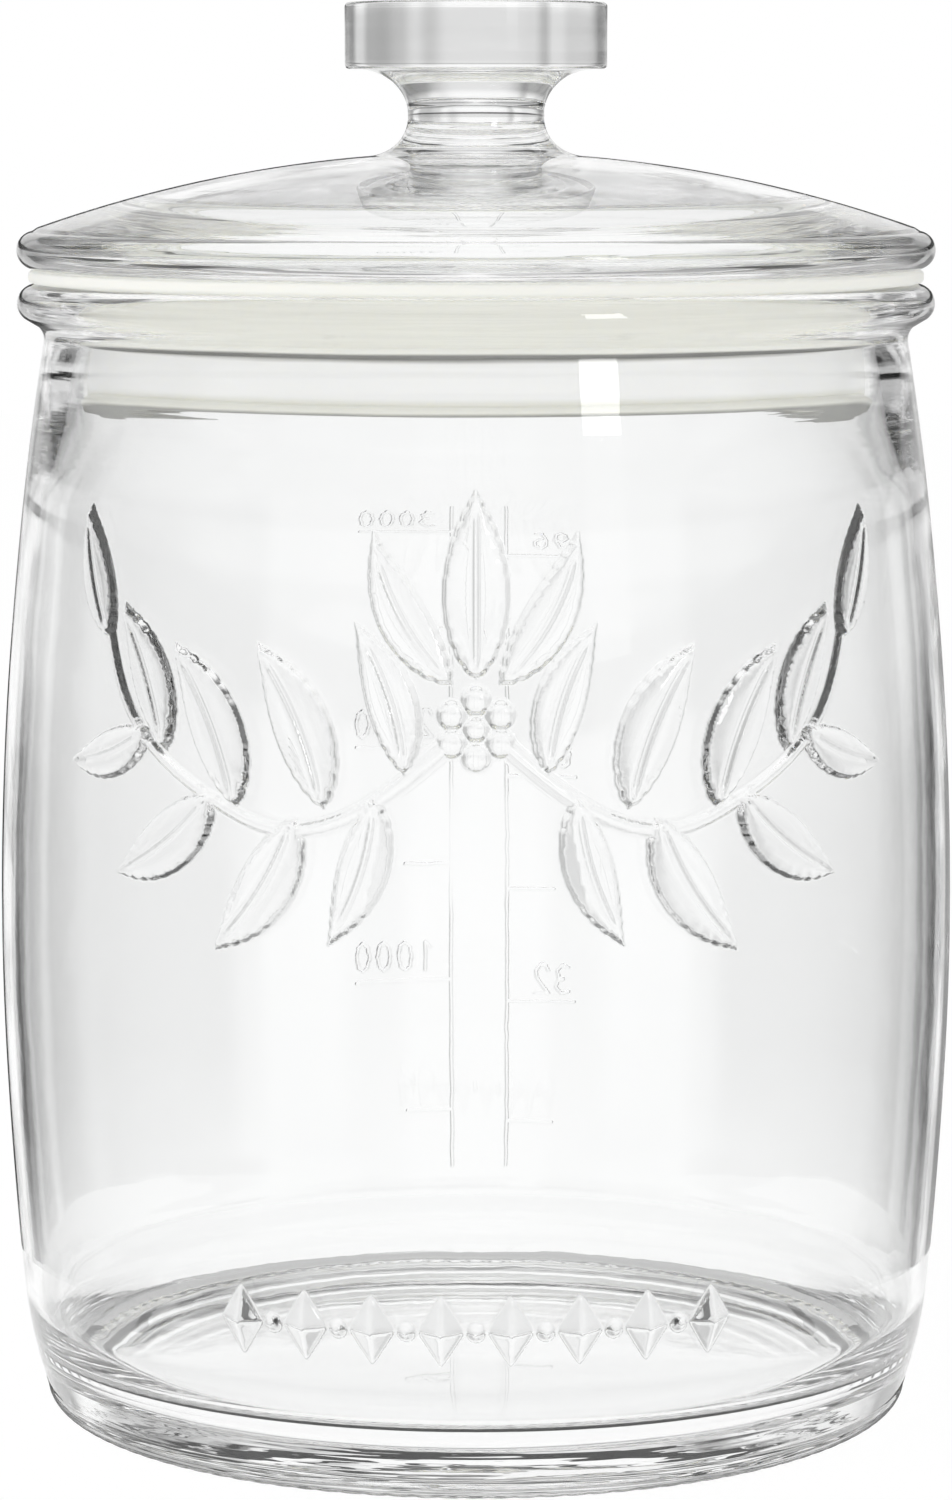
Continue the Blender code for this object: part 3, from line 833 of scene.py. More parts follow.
@dataclass
class MeasuringScale(Pattern):
    """Two measuring scales with plain numbers on the back, millilitres and fluid ounces.

    Args:
        side: Side of the jar that carries it.
        height: How far the marks stand proud.
        line_width: Width of the marks.
        digit_height: Height of the numbers.
        digit_width: Width of a number's figure as a share of its height.
        digit_pitch: Distance from one figure to the next as a share of its width.
        digit_line: Width of the figures' lines as a share of the marks'.
        span: Heights at which the upright lines start and end.
        litre_line: Place round the jar of the upright line of the millilitres.
        ounce_line: Place of the upright line of the fluid ounces.
        litres: Heights of the long marks of the millilitres, with their numbers.
        half_litres: Heights of the short marks between them.
        ounces: Heights of the long marks of the fluid ounces, with their numbers.
        half_ounces: Heights of the short marks between them.
        litre_marks: Far ends of the long and the short marks of the millilitres.
        ounce_marks: Far ends of the long and the short marks of the fluid ounces.
        number_places: Left ends of the numbers of both scales.
        number_rise: How far a number's foot stands above its mark.
    """

    side: Side = Side.BACK
    height: float = 0.32
    line_width: float = 1.2
    digit_height: float = 5.6
    digit_width: float = 0.5
    digit_pitch: float = 1.57
    digit_line: float = 0.95
    span: Point = (24.0, 166.0)
    litre_line: float = 5.1
    ounce_line: float = -6.4
    litres: tuple[tuple[float, str], ...] = ((61.6, "1000"), (109.0, "2000"), (156.4, "3000"))
    half_litres: tuple[float, ...] = (35.4, 85.3, 132.6)
    ounces: tuple[tuple[float, str], ...] = ((57.3, "32"), (102.9, "64"), (148.4, "96"))
    half_ounces: tuple[float, ...] = (33.0, 80.2, 125.6)
    litre_marks: Point = (25.0, 14.6)
    ounce_marks: Point = (-20.7, -16.1)
    number_places: Point = (9.0, -19.5)
    number_rise: float = 1.9

    DIGITS: ClassVar[dict[str, tuple[tuple[Point, ...], ...]]] = {
        "0": (((0.5, 1), (0.15, 0.85), (0, 0.5), (0.15, 0.15), (0.5, 0), (0.85, 0.15), (1, 0.5),
               (0.85, 0.85), (0.5, 1)),),
        "1": (((0.2, 0.8), (0.55, 1), (0.55, 0)),),
        "2": (((0, 0.8), (0.2, 0.97), (0.6, 1), (0.95, 0.8), (0.9, 0.55), (0, 0), (1, 0)),),
        "3": (((0.05, 0.9), (0.5, 1), (0.9, 0.8), (0.75, 0.55), (0.4, 0.52), (0.8, 0.47), (1, 0.25),
               (0.55, 0), (0, 0.1)),),
        "4": (((0.75, 0), (0.75, 1), (0, 0.3), (1, 0.3)),),
        "6": (((0.85, 0.95), (0.4, 0.95), (0.05, 0.5), (0.1, 0.15), (0.5, 0), (0.9, 0.15), (0.95, 0.4),
               (0.6, 0.58), (0.1, 0.45)),),
        "8": (((0.5, 0.55), (0.1, 0.75), (0.5, 1), (0.9, 0.75), (0.5, 0.55), (0, 0.27), (0.5, 0),
               (1, 0.27), (0.5, 0.55)),),
        "9": (((0.15, 0.05), (0.6, 0.05), (0.95, 0.5), (0.9, 0.85), (0.5, 1), (0.1, 0.85), (0.05, 0.6),
               (0.4, 0.42), (0.9, 0.55)),),
    }

    def line(self, points: list[Point], width: float = 1.0) -> Stroke:
        """Make a mark of even width.

        Args:
            points: Points that it runs through.
            width: Its width as a share of the marks' width.

        Returns:
            The mark's stroke.
        """
        path = np.array(points, dtype=float)
        return Stroke(path, np.full(len(path), self.line_width * width / 2), self.height, crown=0.3)

    def number(self, text: str, x: float, y: float) -> list[Stroke]:
        """Write a number.

        Args:
            text: Its figures.
            x: Place of its left end.
            y: Height of its foot.

        Returns:
            The strokes of its figures.
        """
        wide = self.digit_height * self.digit_width
        return [self.line([(x + place * wide * self.digit_pitch + px * wide, y + py * self.digit_height)
                           for px, py in path], self.digit_line)
                for place, digit in enumerate(text) for path in self.DIGITS[digit]]

    def scale(self, upright: float, ends: Point, number_place: float,
              marks: tuple[tuple[float, str], ...], halves: tuple[float, ...]) -> list[Stroke]:
        """Draw one of the two scales.

        Args:
            upright: Place of its upright line.
            ends: Far ends of its long and its short marks.
            number_place: Left end of its numbers.
            marks: Heights of the long marks with their numbers.
            halves: Heights of the short marks.

        Returns:
            The scale's strokes.
        """
        low, high = self.span
        strokes = [self.line([(upright, low), (upright, high)])]
        for y, text in marks:
            strokes.append(self.line(sorted([(upright, y), (ends[0], y)])))
            strokes += self.number(text, number_place, y + self.number_rise)
        return strokes + [self.line(sorted([(upright, y), (ends[1], y)])) for y in halves]

    def shapes(self) -> list[Stroke | Lozenge]:
        """List both scales' strokes.

        Returns:
            The raised shapes.
        """
        litre_number, ounce_number = self.number_places
        return [
            *self.scale(self.litre_line, self.litre_marks, litre_number, self.litres, self.half_litres),
            *self.scale(self.ounce_line, self.ounce_marks, ounce_number, self.ounces, self.half_ounces)]


@dataclass
class Relief:
    """All raised patterns of the jar's wall and the knurls under its heel.

    Args:
        patterns: Patterns on the wall.
        reference_radius: Radius of the unrolled wall.
        box_radius: Radius of the CAD box, which no raised form passes.
        knurl_count: Number of knurls round the bearing ring.
        knurl_depth: Depth of the hollows between the knurls.
        knurl_band: Half width of the ring of knurls.
        knurl_rise: Height up to which the knurls reach.
        side_share: Share of its height that a raised form keeps at the sides, where the mould
            could not let go of a steep one.
        side_start: Angle from the pattern's middle at which it starts to get lower, in degrees.
        side_blend: Further angle over which it does.
        box_gap: Distance that stays between a raised form and the CAD box.
        placed: The patterns' shapes with the angle of their side, worked out from them.
    """

    patterns: list[Pattern]
    reference_radius: float = 0.08675
    box_radius: float = 0.08675
    knurl_count: int = 112
    knurl_depth: float = 0.00012
    knurl_band: float = 0.0021
    knurl_rise: float = 0.0022
    side_share: float = 0.6
    side_start: float = 30.0
    side_blend: float = 26.0
    box_gap: float = 0.00002
    placed: list[tuple[float, Stroke | Lozenge]] = field(default_factory=list)

    def __post_init__(self) -> None:
        """Collect the shapes with the angle of their side."""
        for pattern in self.patterns:
            self.placed += [(math.radians(pattern.side.value), shape) for shape in pattern.shapes()]

    def measure(self, angle: np.ndarray, height: np.ndarray,
                radius: np.ndarray) -> tuple[np.ndarray, np.ndarray]:
        """Measure relief and distance to the nearest edge on the wall.

        Raised forms are made lower where the CAD box leaves them less room.

        Args:
            angle: Angles about +Z in radians.
            height: Heights above the base.
            radius: Radii of the plain wall.

        Returns:
            Relief and distance to the nearest edge, both in metres.
        """
        raised = np.zeros(angle.shape)
        edge = np.full(angle.shape, FAR)
        y = height / MM
        reach = np.maximum(np.abs(np.cos(angle)), np.abs(np.sin(angle)))
        room = self.box_radius / reach - radius - self.box_gap
        for middle in {math.radians(side.value) for side in Side}:
            turned = np.mod(angle - middle + math.pi, math.tau) - math.pi
            x = turned * self.reference_radius / MM
            side = (np.abs(turned) - math.radians(self.side_start)) / math.radians(self.side_blend)
            share = 1 - (1 - self.side_share) * np.clip(side, 0, 1)
            for place, shape in self.placed:
                if place == middle:
                    lift, near = shape.measure(x, y)
                    lift = lift * np.clip(room / (shape.height * MM), 0, share)
                    raised = np.maximum(raised, lift)
                    edge = np.minimum(edge, near)
        return raised * MM, edge * MM


@dataclass
class Jar:
    """Pressed glass jar: barrel wall, rolled rim, thick base and punt, with its relief.

    Args:
        relief: Its raised patterns and knurls.
        finish: Its glass.
        columns: Faces round the plain wall.
        depth: How often a face may be halved at the edge of a raised form.
        row_height: Longest distance between two rows of faces off the wall.
        row_turn: Most that the outline bends between two of them, in degrees.
        wall_row_height: Distance between two rows on the wall.
        heel_reach: Length before the end of the wall from which the first spacing holds.
        relief_foot: Height below which nothing is raised.
        corner_run: Height over which the floor's corner runs into the wall.
        flare_overlap: How far the flare of the bore reaches past its end, up the neck.
        bore_foot: Height above that end from which the bore is straight.
        foot_to_belly: Shape of the lower wall, as shares of its height and of its swell.
        belly_to_neck: Shape of the upper wall in the same way.

    The other fields are the lengths of its section, in metres.
    """

    relief: Relief
    finish: Glass
    height: float = 0.2044
    belly_radius: float = 0.08675
    belly_height: float = 0.0840
    foot_radius: float = 0.0793
    heel_rounding: float = 0.0033
    mouth_radius: float = 0.0726
    neck_wall: float = 0.0054
    rim_reach: float = 0.0048
    rim_rounding: float = 0.0034
    neck_fillet: float = 0.0030
    wall: float = 0.0032
    mouth_depth: float = 0.0125
    mouth_flare: float = 0.0280
    lip_rounding: float = 0.0016
    floor_height: float = 0.0082
    floor_rounding: float = 0.0135
    bearing_width: float = 0.0025
    punt_step: float = 0.0007
    punt_edge: float = 0.0015
    punt_height: float = 0.0033
    columns: int = 112
    depth: int = 4
    row_height: float = 0.0080
    row_turn: float = 11.5
    wall_row_height: float = 0.0048
    heel_reach: float = 0.0078
    relief_foot: float = 0.006
    corner_run: float = 0.004
    flare_overlap: float = 0.002
    bore_foot: float = 0.006
    foot_to_belly: tuple[Point, ...] = (
        (0.0, 0.0), (0.053, 0.174), (0.14, 0.403), (0.28, 0.59), (0.54, 0.80), (1.0, 1.0))
    belly_to_neck: tuple[Point, ...] = (
        (0.0, 0.0), (0.22, 0.035), (0.40, 0.145), (0.615, 0.374), (0.82, 0.665), (1.0, 1.0))

    @property
    def neck_radius(self) -> float:
        """Outer radius of the neck."""
        return self.mouth_radius + self.neck_wall

    @property
    def neck_height(self) -> float:
        """Height at which the barrel wall meets the fillet under the rim."""
        return self.height - 2 * self.rim_rounding - self.neck_fillet

    def barrel(self) -> list[Point]:
        """Make the outer wall from the heel up to the neck.

        Returns:
            Its points as radius and height.
        """
        stations = []
        for share, swell in self.foot_to_belly:
            stations.append((self.foot_radius + swell * (self.belly_radius - self.foot_radius),
                             self.heel_rounding + share * (self.belly_height - self.heel_rounding)))
        for share, swell in self.belly_to_neck[1:]:
            stations.append((self.belly_radius + swell * (self.neck_radius - self.belly_radius),
                             self.belly_height + share * (self.neck_height - self.belly_height)))
        curve = spline(stations, 240)
        return [(min(radius, self.belly_radius), height) for radius, height in curve]

    def inside(self, barrel: list[Point]) -> list[Point]:
        """Make the inside from the middle of the floor to the edge of the mouth.

        Args:
            barrel: Points of the outer wall, which the inside follows.

        Returns:
            Its points as radius and height.
        """
        radii, heights = np.array(barrel).T
        corner_height = self.floor_height + self.floor_rounding
        corner_radius = float(np.interp(corner_height, heights, radii)) - self.wall - self.floor_rounding
        flare_low = self.height - self.mouth_depth - self.mouth_flare
        flare_high = self.height - self.mouth_depth
        wall = [(float(np.interp(z, heights, radii)) - self.wall, float(z))
                for z in np.linspace(corner_height + self.corner_run, flare_low, 14)]
        swell = wall[-1][0] - self.mouth_radius
        rise = flare_high + self.flare_overlap - flare_low
        lean = (wall[-1][0] - wall[-2][0]) / (wall[-1][1] - wall[-2][1]) * rise
        flare = [(self.mouth_radius + swell * (2 * s ** 3 - 3 * s ** 2 + 1)
                  + lean * (s ** 3 - 2 * s ** 2 + s), flare_low + rise * s)
                 for s in np.linspace(0, 1, 8)[1:]]
        flare.append((self.mouth_radius, flare_high + self.bore_foot))
        points = [(0.0, self.floor_height)]
        points += arc((corner_radius, corner_height), (self.floor_rounding,) * 2, -90, 0, 24)
        points += spline([points[-1]] + wall + flare, 240)[1:]
        points += arc((self.mouth_radius + self.lip_rounding, self.height - self.lip_rounding),
                      (self.lip_rounding,) * 2, 180, 90, 8)
        return points

    def section(self) -> tuple[Section, float, float]:
        """Make the half section.

        Returns:
            The section, and the lengths at which its outer wall starts and its bearing ring ends.
        """
        barrel = self.barrel()
        points = self.inside(barrel)
        rim = (self.neck_radius + self.rim_reach - self.rim_rounding, self.height - self.rim_rounding)
        points += arc(rim, (self.rim_rounding,) * 2, 90, -50, 24)
        points += arc((self.neck_radius + self.neck_fillet, self.neck_height),
                      (self.neck_fillet,) * 2, 130, 180, 8)
        wall_start = points[-1]
        points += list(reversed(barrel))[1:-1]
        bearing_radius = self.foot_radius - self.heel_rounding
        points += arc((bearing_radius, self.heel_rounding), (self.heel_rounding,) * 2, 0, -90, 16)
        punt_radius = bearing_radius - self.bearing_width
        points.append((punt_radius, 0.0))
        points += arc((0, self.punt_step),
                      (punt_radius - self.punt_edge, self.punt_height - self.punt_step), 0, 90, 60)
        section = Section(points)
        return section, section.nearest(wall_start), section.nearest((punt_radius, 0.0))

    def knurls(self, angle: np.ndarray, radius: np.ndarray, height: np.ndarray) -> np.ndarray:
        """Measure the hollows between the knurls of the bearing ring.

        Args:
            angle: Angles about +Z in radians.
            radius: Radii of the plain section.
            height: Heights above the base.

        Returns:
            Their relief, which is negative.
        """
        relief, middle = self.relief, self.foot_radius - self.heel_rounding
        fade = 1 - np.clip(height / relief.knurl_rise, 0, 1) ** 2
        band = np.exp(-((radius - middle) / relief.knurl_band) ** 4) * (height < relief.knurl_rise) * fade
        wave = 0.5 - 0.5 * np.cos(relief.knurl_count * angle)
        return -relief.knurl_depth * wave ** 2 * band

    def lift(self, angle: np.ndarray, length: np.ndarray, section: Section,
             start: float, end: float) -> np.ndarray:
        """Measure how far the skin stands out from the plain section.

        Args:
            angle: Angles about +Z in radians.
            length: Lengths along the section.
            section: The half section.
            start: Length at which the outer wall starts.
            end: Length at which the bearing ring ends.

        Returns:
            Distances along the section's normal.
        """
        place, _ = section.at(length)
        lift = np.zeros(angle.shape)
        wall = np.nonzero((length > start) & (length < end + MM))[0]
        if wall.size:
            radius, height = place[wall].T
            raised, _ = self.relief.measure(angle[wall], height, radius)
            lift[wall] = raised * (height > self.relief_foot) + self.knurls(angle[wall], radius, height)
        return lift

    def build(self) -> bpy.types.Object:
        """Build the jar as one closed mesh, with smaller faces at the edges of its relief.

        Returns:
            The finished object.
        """
        section, start, end = self.section()
        wall = (start, end - self.heel_reach, self.wall_row_height)
        rows = section.rows(self.row_height, self.row_turn, wall)
        skin = AdaptiveSkin(self, section, rows, start, end)
        return skin.mesh("glass_jar", self.finish.material())


@dataclass
class AdaptiveSkin:
    """Turned skin whose faces are halved, again and again, where its relief has an edge.

    Args:
        jar: Jar that gives the relief and the counts.
        section: Half section of the jar.
        rows: Lengths along the section at which rows of plain faces lie.
        start: Length at which the wall with the relief starts.
        end: Length at which it ends, at the inner edge of the bearing ring.
        coarse: Number of times that a whole raised form is halved, and the knurls with it.
        margin: Distance from an edge within which faces are halved those times.
        margins_inside: Distances inside an edge for each further time.
        margins_outside: Distances outside it for each further time.
        knurls: Lengths before and after the end between which the knurls lie.
        probe: Distance over which the slope of the relief is measured.
    """

    jar: Jar
    section: Section
    rows: np.ndarray
    start: float
    end: float
    coarse: int = 2
    margin: float = 0.0003
    margins_inside: Point = (0.0012, 0.0003)
    margins_outside: Point = (0.0001, -0.0001)
    knurls: Point = (0.0052, 0.0006)
    probe: float = 0.00006

    @property
    def fine(self) -> int:
        """Number of smallest faces along a plain face."""
        return 2 ** self.jar.depth

    def lengths(self, v: np.ndarray) -> np.ndarray:
        """Turn fine rows into lengths along the section."""
        return np.interp(v / self.fine, np.arange(len(self.rows)), self.rows)

    def angles(self, u: np.ndarray) -> np.ndarray:
        """Turn fine columns into angles about +Z."""
        return u / self.fine / self.jar.columns * math.tau - math.pi / 2

    def cells(self) -> np.ndarray:
        """Halve faces near edges of the relief.

        Returns:
            All faces as rows of fine column, fine row and size.
        """
        count = len(self.rows) - 1
        grid = np.stack(np.meshgrid(np.arange(self.jar.columns), np.arange(count), indexing="ij"), -1)
        open_cells = grid.reshape(-1, 2) * self.fine
        size = self.fine
        done = []
        level = 0
        while size > 1:
            middle = open_cells + size / 2
            length = self.lengths(middle[:, 1])
            angle = self.angles(middle[:, 0])
            place, _ = self.section.at(length)
            _, edge = self.jar.relief.measure(angle, place[:, 1], place[:, 0])
            step = self.lengths(open_cells[:, 1] + size) - self.lengths(open_cells[:, 1])
            width = place[:, 0] * math.tau / self.jar.columns * size / self.fine
            half = np.hypot(step, width) / 2
            wall = (length > self.start) & (length < self.end)
            split = wall & (place[:, 1] > self.jar.relief_foot) & (edge < half + self.margin)
            if level < self.coarse:
                before, after = self.knurls
                split |= (length > self.end - before) & (length < self.end + after)
            else:
                split &= edge > -half - self.margins_inside[level - self.coarse]
                split &= edge < half + self.margins_outside[level - self.coarse]
            done.append(np.column_stack([open_cells[~split], np.full((~split).sum(), size)]))
            parents = open_cells[split]
            size //= 2
            level += 1
            open_cells = np.concatenate([
                parents, parents + [size, 0], parents + [0, size], parents + [size, size]])
        done.append(np.column_stack([open_cells, np.full(len(open_cells), size)]))
        return np.concatenate(done).astype(int)

    def faces(self, cells: np.ndarray) -> tuple[list[tuple[int, int]], list[tuple[int, ...]]]:
        """Join the cells: plain ones as four-sided faces, others as fans about their middle.

        Args:
            cells: Column, row and size of each cell.

        Returns:
            The fine column and row of each vertex, and the faces.
        """
        turn = self.jar.columns * self.fine
        last = (len(self.rows) - 1) * self.fine
        index: dict[tuple[int, int], int] = {}

        def vertex(u: int, v: int) -> int:
            """Number a vertex, with one vertex for each pole."""
            key = (0, v) if v in (0, last) else (u % turn, v)
            return index.setdefault(key, len(index))

        corners = set()
        for u, v, size in cells.tolist():
            corners.update(((u % turn, v), ((u + size) % turn, v), (u % turn, v + size),
                            ((u + size) % turn, v + size)))
        faces: list[tuple[int, ...]] = []
        for u, v, size in cells.tolist():
            down = [(u, k) for k in range(v, v + size) if (u % turn, k) in corners]
            across = [(k, v + size) for k in range(u, u + size) if (k % turn, v + size) in corners]
            up = [(u + size, k) for k in range(v + size, v, -1) if ((u + size) % turn, k) in corners]
            back = [(k, v) for k in range(u + size, u, -1) if (k % turn, v) in corners]
            ring = down + across + up + back
            numbers = [vertex(*place) for place in ring]
            numbers = [n for n, after in zip(numbers, numbers[1:] + numbers[:1]) if n != after]
            if len(numbers) <= 4 and len(ring) == 4:
                faces.append(tuple(numbers))
            else:
                middle = index.setdefault((u + size // 2, v + size // 2), len(index))
                faces += [(a, b, middle) for a, b in zip(numbers, numbers[1:] + numbers[:1])]
        return list(index), faces

    def lift(self, angle: np.ndarray, length: np.ndarray) -> np.ndarray:
        """Measure the jar's relief at angles and lengths."""
        return self.jar.lift(angle, length, self.section, self.start, self.end)

    def mesh(self, name: str, material: bpy.types.Material) -> bpy.types.Object:
        """Place the vertices, give them exact normals and make the object.

        Args:
            name: Name of the piece.
            material: Its finish.

        Returns:
            The finished object.
        """
        keys, faces = self.faces(self.cells())
        u, v = np.array(keys, dtype=float).T
        length, angle = self.lengths(v), self.angles(u)
        place, way = self.section.at(length)
        lift = self.lift(angle, length)
        small = self.probe
        turn = small / np.maximum(place[:, 0], MM)
        slope_round = (self.lift(angle + turn, length) - self.lift(angle - turn, length)) / (2 * small)
        slope_down = (self.lift(angle, length + small) - self.lift(angle, length - small)) / (2 * small)
        out_radius, out_height = -way[:, 1], way[:, 0]
        radius = place[:, 0] + lift * out_radius
        height = np.maximum(place[:, 1] + lift * out_height, 0)
        cos, sin = np.cos(angle), np.sin(angle)
        points = np.stack([radius * cos, radius * sin, height], axis=1)
        points[place[:, 0] < 1e-6, :2] = 0
        outward = np.stack([out_radius * cos, out_radius * sin, out_height], axis=1)
        around = np.stack([-sin, cos, np.zeros_like(sin)], axis=1)
        along = np.stack([way[:, 0] * cos, way[:, 0] * sin, way[:, 1]], axis=1)
        normals = outward - slope_round[:, None] * around - slope_down[:, None] * along
        normals /= np.linalg.norm(normals, axis=1)[:, None]
        mesh = bpy.data.meshes.new(name)
        mesh.from_pydata(points.tolist(), [], faces)
        mesh.materials.append(material)
        mesh.shade_smooth()
        mesh.normals_split_custom_set_from_vertices(normals.tolist())
        mesh.validate()
        return add_object(name, mesh)


@dataclass
class TurningLathe:
    """Geometry Nodes tree that turns a half section into a closed piece.

    Args:
        segments: Faces round the piece.
        seam_width: Distance within which the two ends of the round are joined.
    """

    segments: int = 256
    seam_width: float = 0.000002

    def tree(self) -> tuple[Tree, dict[str, str]]:
        """Build the tree.

        Returns:
            The tree, and its input sockets' identifiers by name.
        """
        tree = bpy.data.node_groups.new("turned_piece", "GeometryNodeTree")
        sockets = {}
        for name, kind in (("Section", "NodeSocketGeometry"), ("Segments", "NodeSocketInt"),
                           ("Stations", "NodeSocketInt"), ("Seam Width", "NodeSocketFloat"),
                           ("Finish", "NodeSocketMaterial")):
            socket = tree.interface.new_socket(name=name, in_out="INPUT", socket_type=kind)
            sockets[name] = socket.identifier
        tree.interface.new_socket(name="Piece", in_out="OUTPUT", socket_type="NodeSocketGeometry")
        new, link = tree.nodes.new, tree.links.new
        given, made = new("NodeGroupInput"), new("NodeGroupOutput")
        grid = new("GeometryNodeMeshGrid")
        link(given.outputs["Stations"], grid.inputs["Vertices X"])
        rounds = calculate(tree, Sum.ADD, given.outputs["Segments"], 1.0)
        link(rounds, grid.inputs["Vertices Y"])
        place = new("GeometryNodeInputPosition")
        parts = new("ShaderNodeSeparateXYZ")
        link(place.outputs["Position"], parts.inputs["Vector"])
        last = calculate(tree, Sum.SUBTRACT, given.outputs["Stations"], 1.0)
        share = calculate(tree, Sum.ADD, parts.outputs["X"], 0.5)
        station = calculate(tree, Sum.ROUND, calculate(tree, Sum.MULTIPLY, share, last))
        turn = calculate(tree, Sum.ADD, parts.outputs["Y"], 0.5)
        angle = calculate(tree, Sum.MULTIPLY, turn, math.tau)
        sample = new("GeometryNodeSampleIndex")
        sample.data_type = "FLOAT_VECTOR"
        sample.domain = "POINT"
        link(given.outputs["Section"], sample.inputs["Geometry"])
        link(place.outputs["Position"], sample.inputs["Value"])
        link(station, sample.inputs["Index"])
        outline = new("ShaderNodeSeparateXYZ")
        link(sample.outputs["Value"], outline.inputs["Vector"])
        spot = new("ShaderNodeCombineXYZ")
        for what, axis in ((Sum.COSINE, "X"), (Sum.SINE, "Y")):
            way = calculate(tree, what, angle)
            link(calculate(tree, Sum.MULTIPLY, outline.outputs["X"], way), spot.inputs[axis])
        link(outline.outputs["Z"], spot.inputs["Z"])
        turned = new("GeometryNodeSetPosition")
        link(grid.outputs["Mesh"], turned.inputs["Geometry"])
        link(spot.outputs["Vector"], turned.inputs["Position"])
        seam = new("GeometryNodeMergeByDistance")
        link(turned.outputs["Geometry"], seam.inputs["Geometry"])
        link(given.outputs["Seam Width"], seam.inputs["Distance"])
        smooth = new("GeometryNodeSetShadeSmooth")
        link(seam.outputs["Geometry"], smooth.inputs["Geometry"])
        real = new("GeometryNodeRealizeInstances")
        link(smooth.outputs["Geometry"], real.inputs["Geometry"])
        finish = new("GeometryNodeSetMaterial")
        link(real.outputs["Geometry"], finish.inputs["Geometry"])
        link(given.outputs["Finish"], finish.inputs["Material"])
        link(finish.outputs["Geometry"], made.inputs["Piece"])
        return tree, sockets

    def turn(self, name: str, section: Section, rows: np.ndarray,
             material: bpy.types.Material) -> bpy.types.Object:
        """Turn a section and return the piece as a plain mesh.

        Args:
            name: Name of the piece.
            section: Its half section.
            rows: Lengths along the section at which its rows lie.
            material: Its finish.

        Returns:
            The finished object.
        """
        place, _ = section.at(rows)
        mesh = bpy.data.meshes.new(name + "_section")
        mesh.from_pydata([(r, 0.0, z) for r, z in place], [(i, i + 1) for i in range(len(rows) - 1)], [])
        source = add_object(name + "_section", mesh)
        tree, sockets = self.tree()
        modifier = source.modifiers.new("turned", "NODES")
        modifier.node_group = tree
        modifier[sockets["Segments"]] = self.segments
        modifier[sockets["Stations"]] = len(rows)
        modifier[sockets["Seam Width"]] = self.seam_width
        modifier[sockets["Finish"]] = material
        graph = bpy.context.evaluated_depsgraph_get()
        made = bpy.data.meshes.new_from_object(source.evaluated_get(graph))
        made.name = name
        made.materials.clear()
        made.materials.append(material)
        made.polygons.foreach_set("material_index", np.zeros(len(made.polygons), dtype=np.int32))
        source.modifiers.clear()
        bpy.data.objects.remove(source, do_unlink=True)
        piece = add_object(name, made)
        if signed_volume(made) < 0:
            made.flip_normals()
        self.true_normals(made, section, rows)
        return piece

    def true_normals(self, mesh: bpy.types.Mesh, section: Section, rows: np.ndarray) -> None:
        """Give each vertex the exact direction of the section, so that the glass bends light evenly.

        Args:
            mesh: The turned mesh.
            section: Its half section.
            rows: Lengths along the section at which its rows lie.
        """
        points = vertices(mesh)
        place, way = section.at(rows)
        radius = np.hypot(points[:, 0], points[:, 1])
        nearest = np.array([int(((place[:, 0] - r) ** 2 + (place[:, 1] - z) ** 2).argmin())
                            for r, z in zip(radius, points[:, 2])])
        out_radius, out_height = -way[nearest, 1], way[nearest, 0]
        safe = np.maximum(radius, 1e-9)
        normals = np.stack([
            out_radius * points[:, 0] / safe, out_radius * points[:, 1] / safe, out_height], axis=1)
        pole = radius < 1e-5
        normals[pole] = 0
        normals[pole, 2] = np.sign(out_height[pole])
        mesh.normals_split_custom_set_from_vertices(normals.tolist())


def vertices(mesh: bpy.types.Mesh) -> np.ndarray:
    """Read the places of a mesh's vertices.

    Args:
        mesh: The mesh.

    Returns:
        One place in each row.
    """
    points = np.empty(len(mesh.vertices) * 3)
    mesh.vertices.foreach_get("co", points)
    return points.reshape(-1, 3)


def signed_volume(mesh: bpy.types.Mesh) -> float:
    """Measure the volume of a closed mesh.

    Args:
        mesh: The mesh.

    Returns:
        Its volume, negative where its faces point inwards.
    """
    mesh.calc_loop_triangles()
    points = vertices(mesh)
    corners = np.empty(len(mesh.loop_triangles) * 3, dtype=np.int32)
    mesh.loop_triangles.foreach_get("vertices", corners)
    a, b, c = (points[corners.reshape(-1, 3)[:, k]] for k in range(3))
    return float(np.einsum("ij,ij->i", a, np.cross(b, c)).sum() / 6)


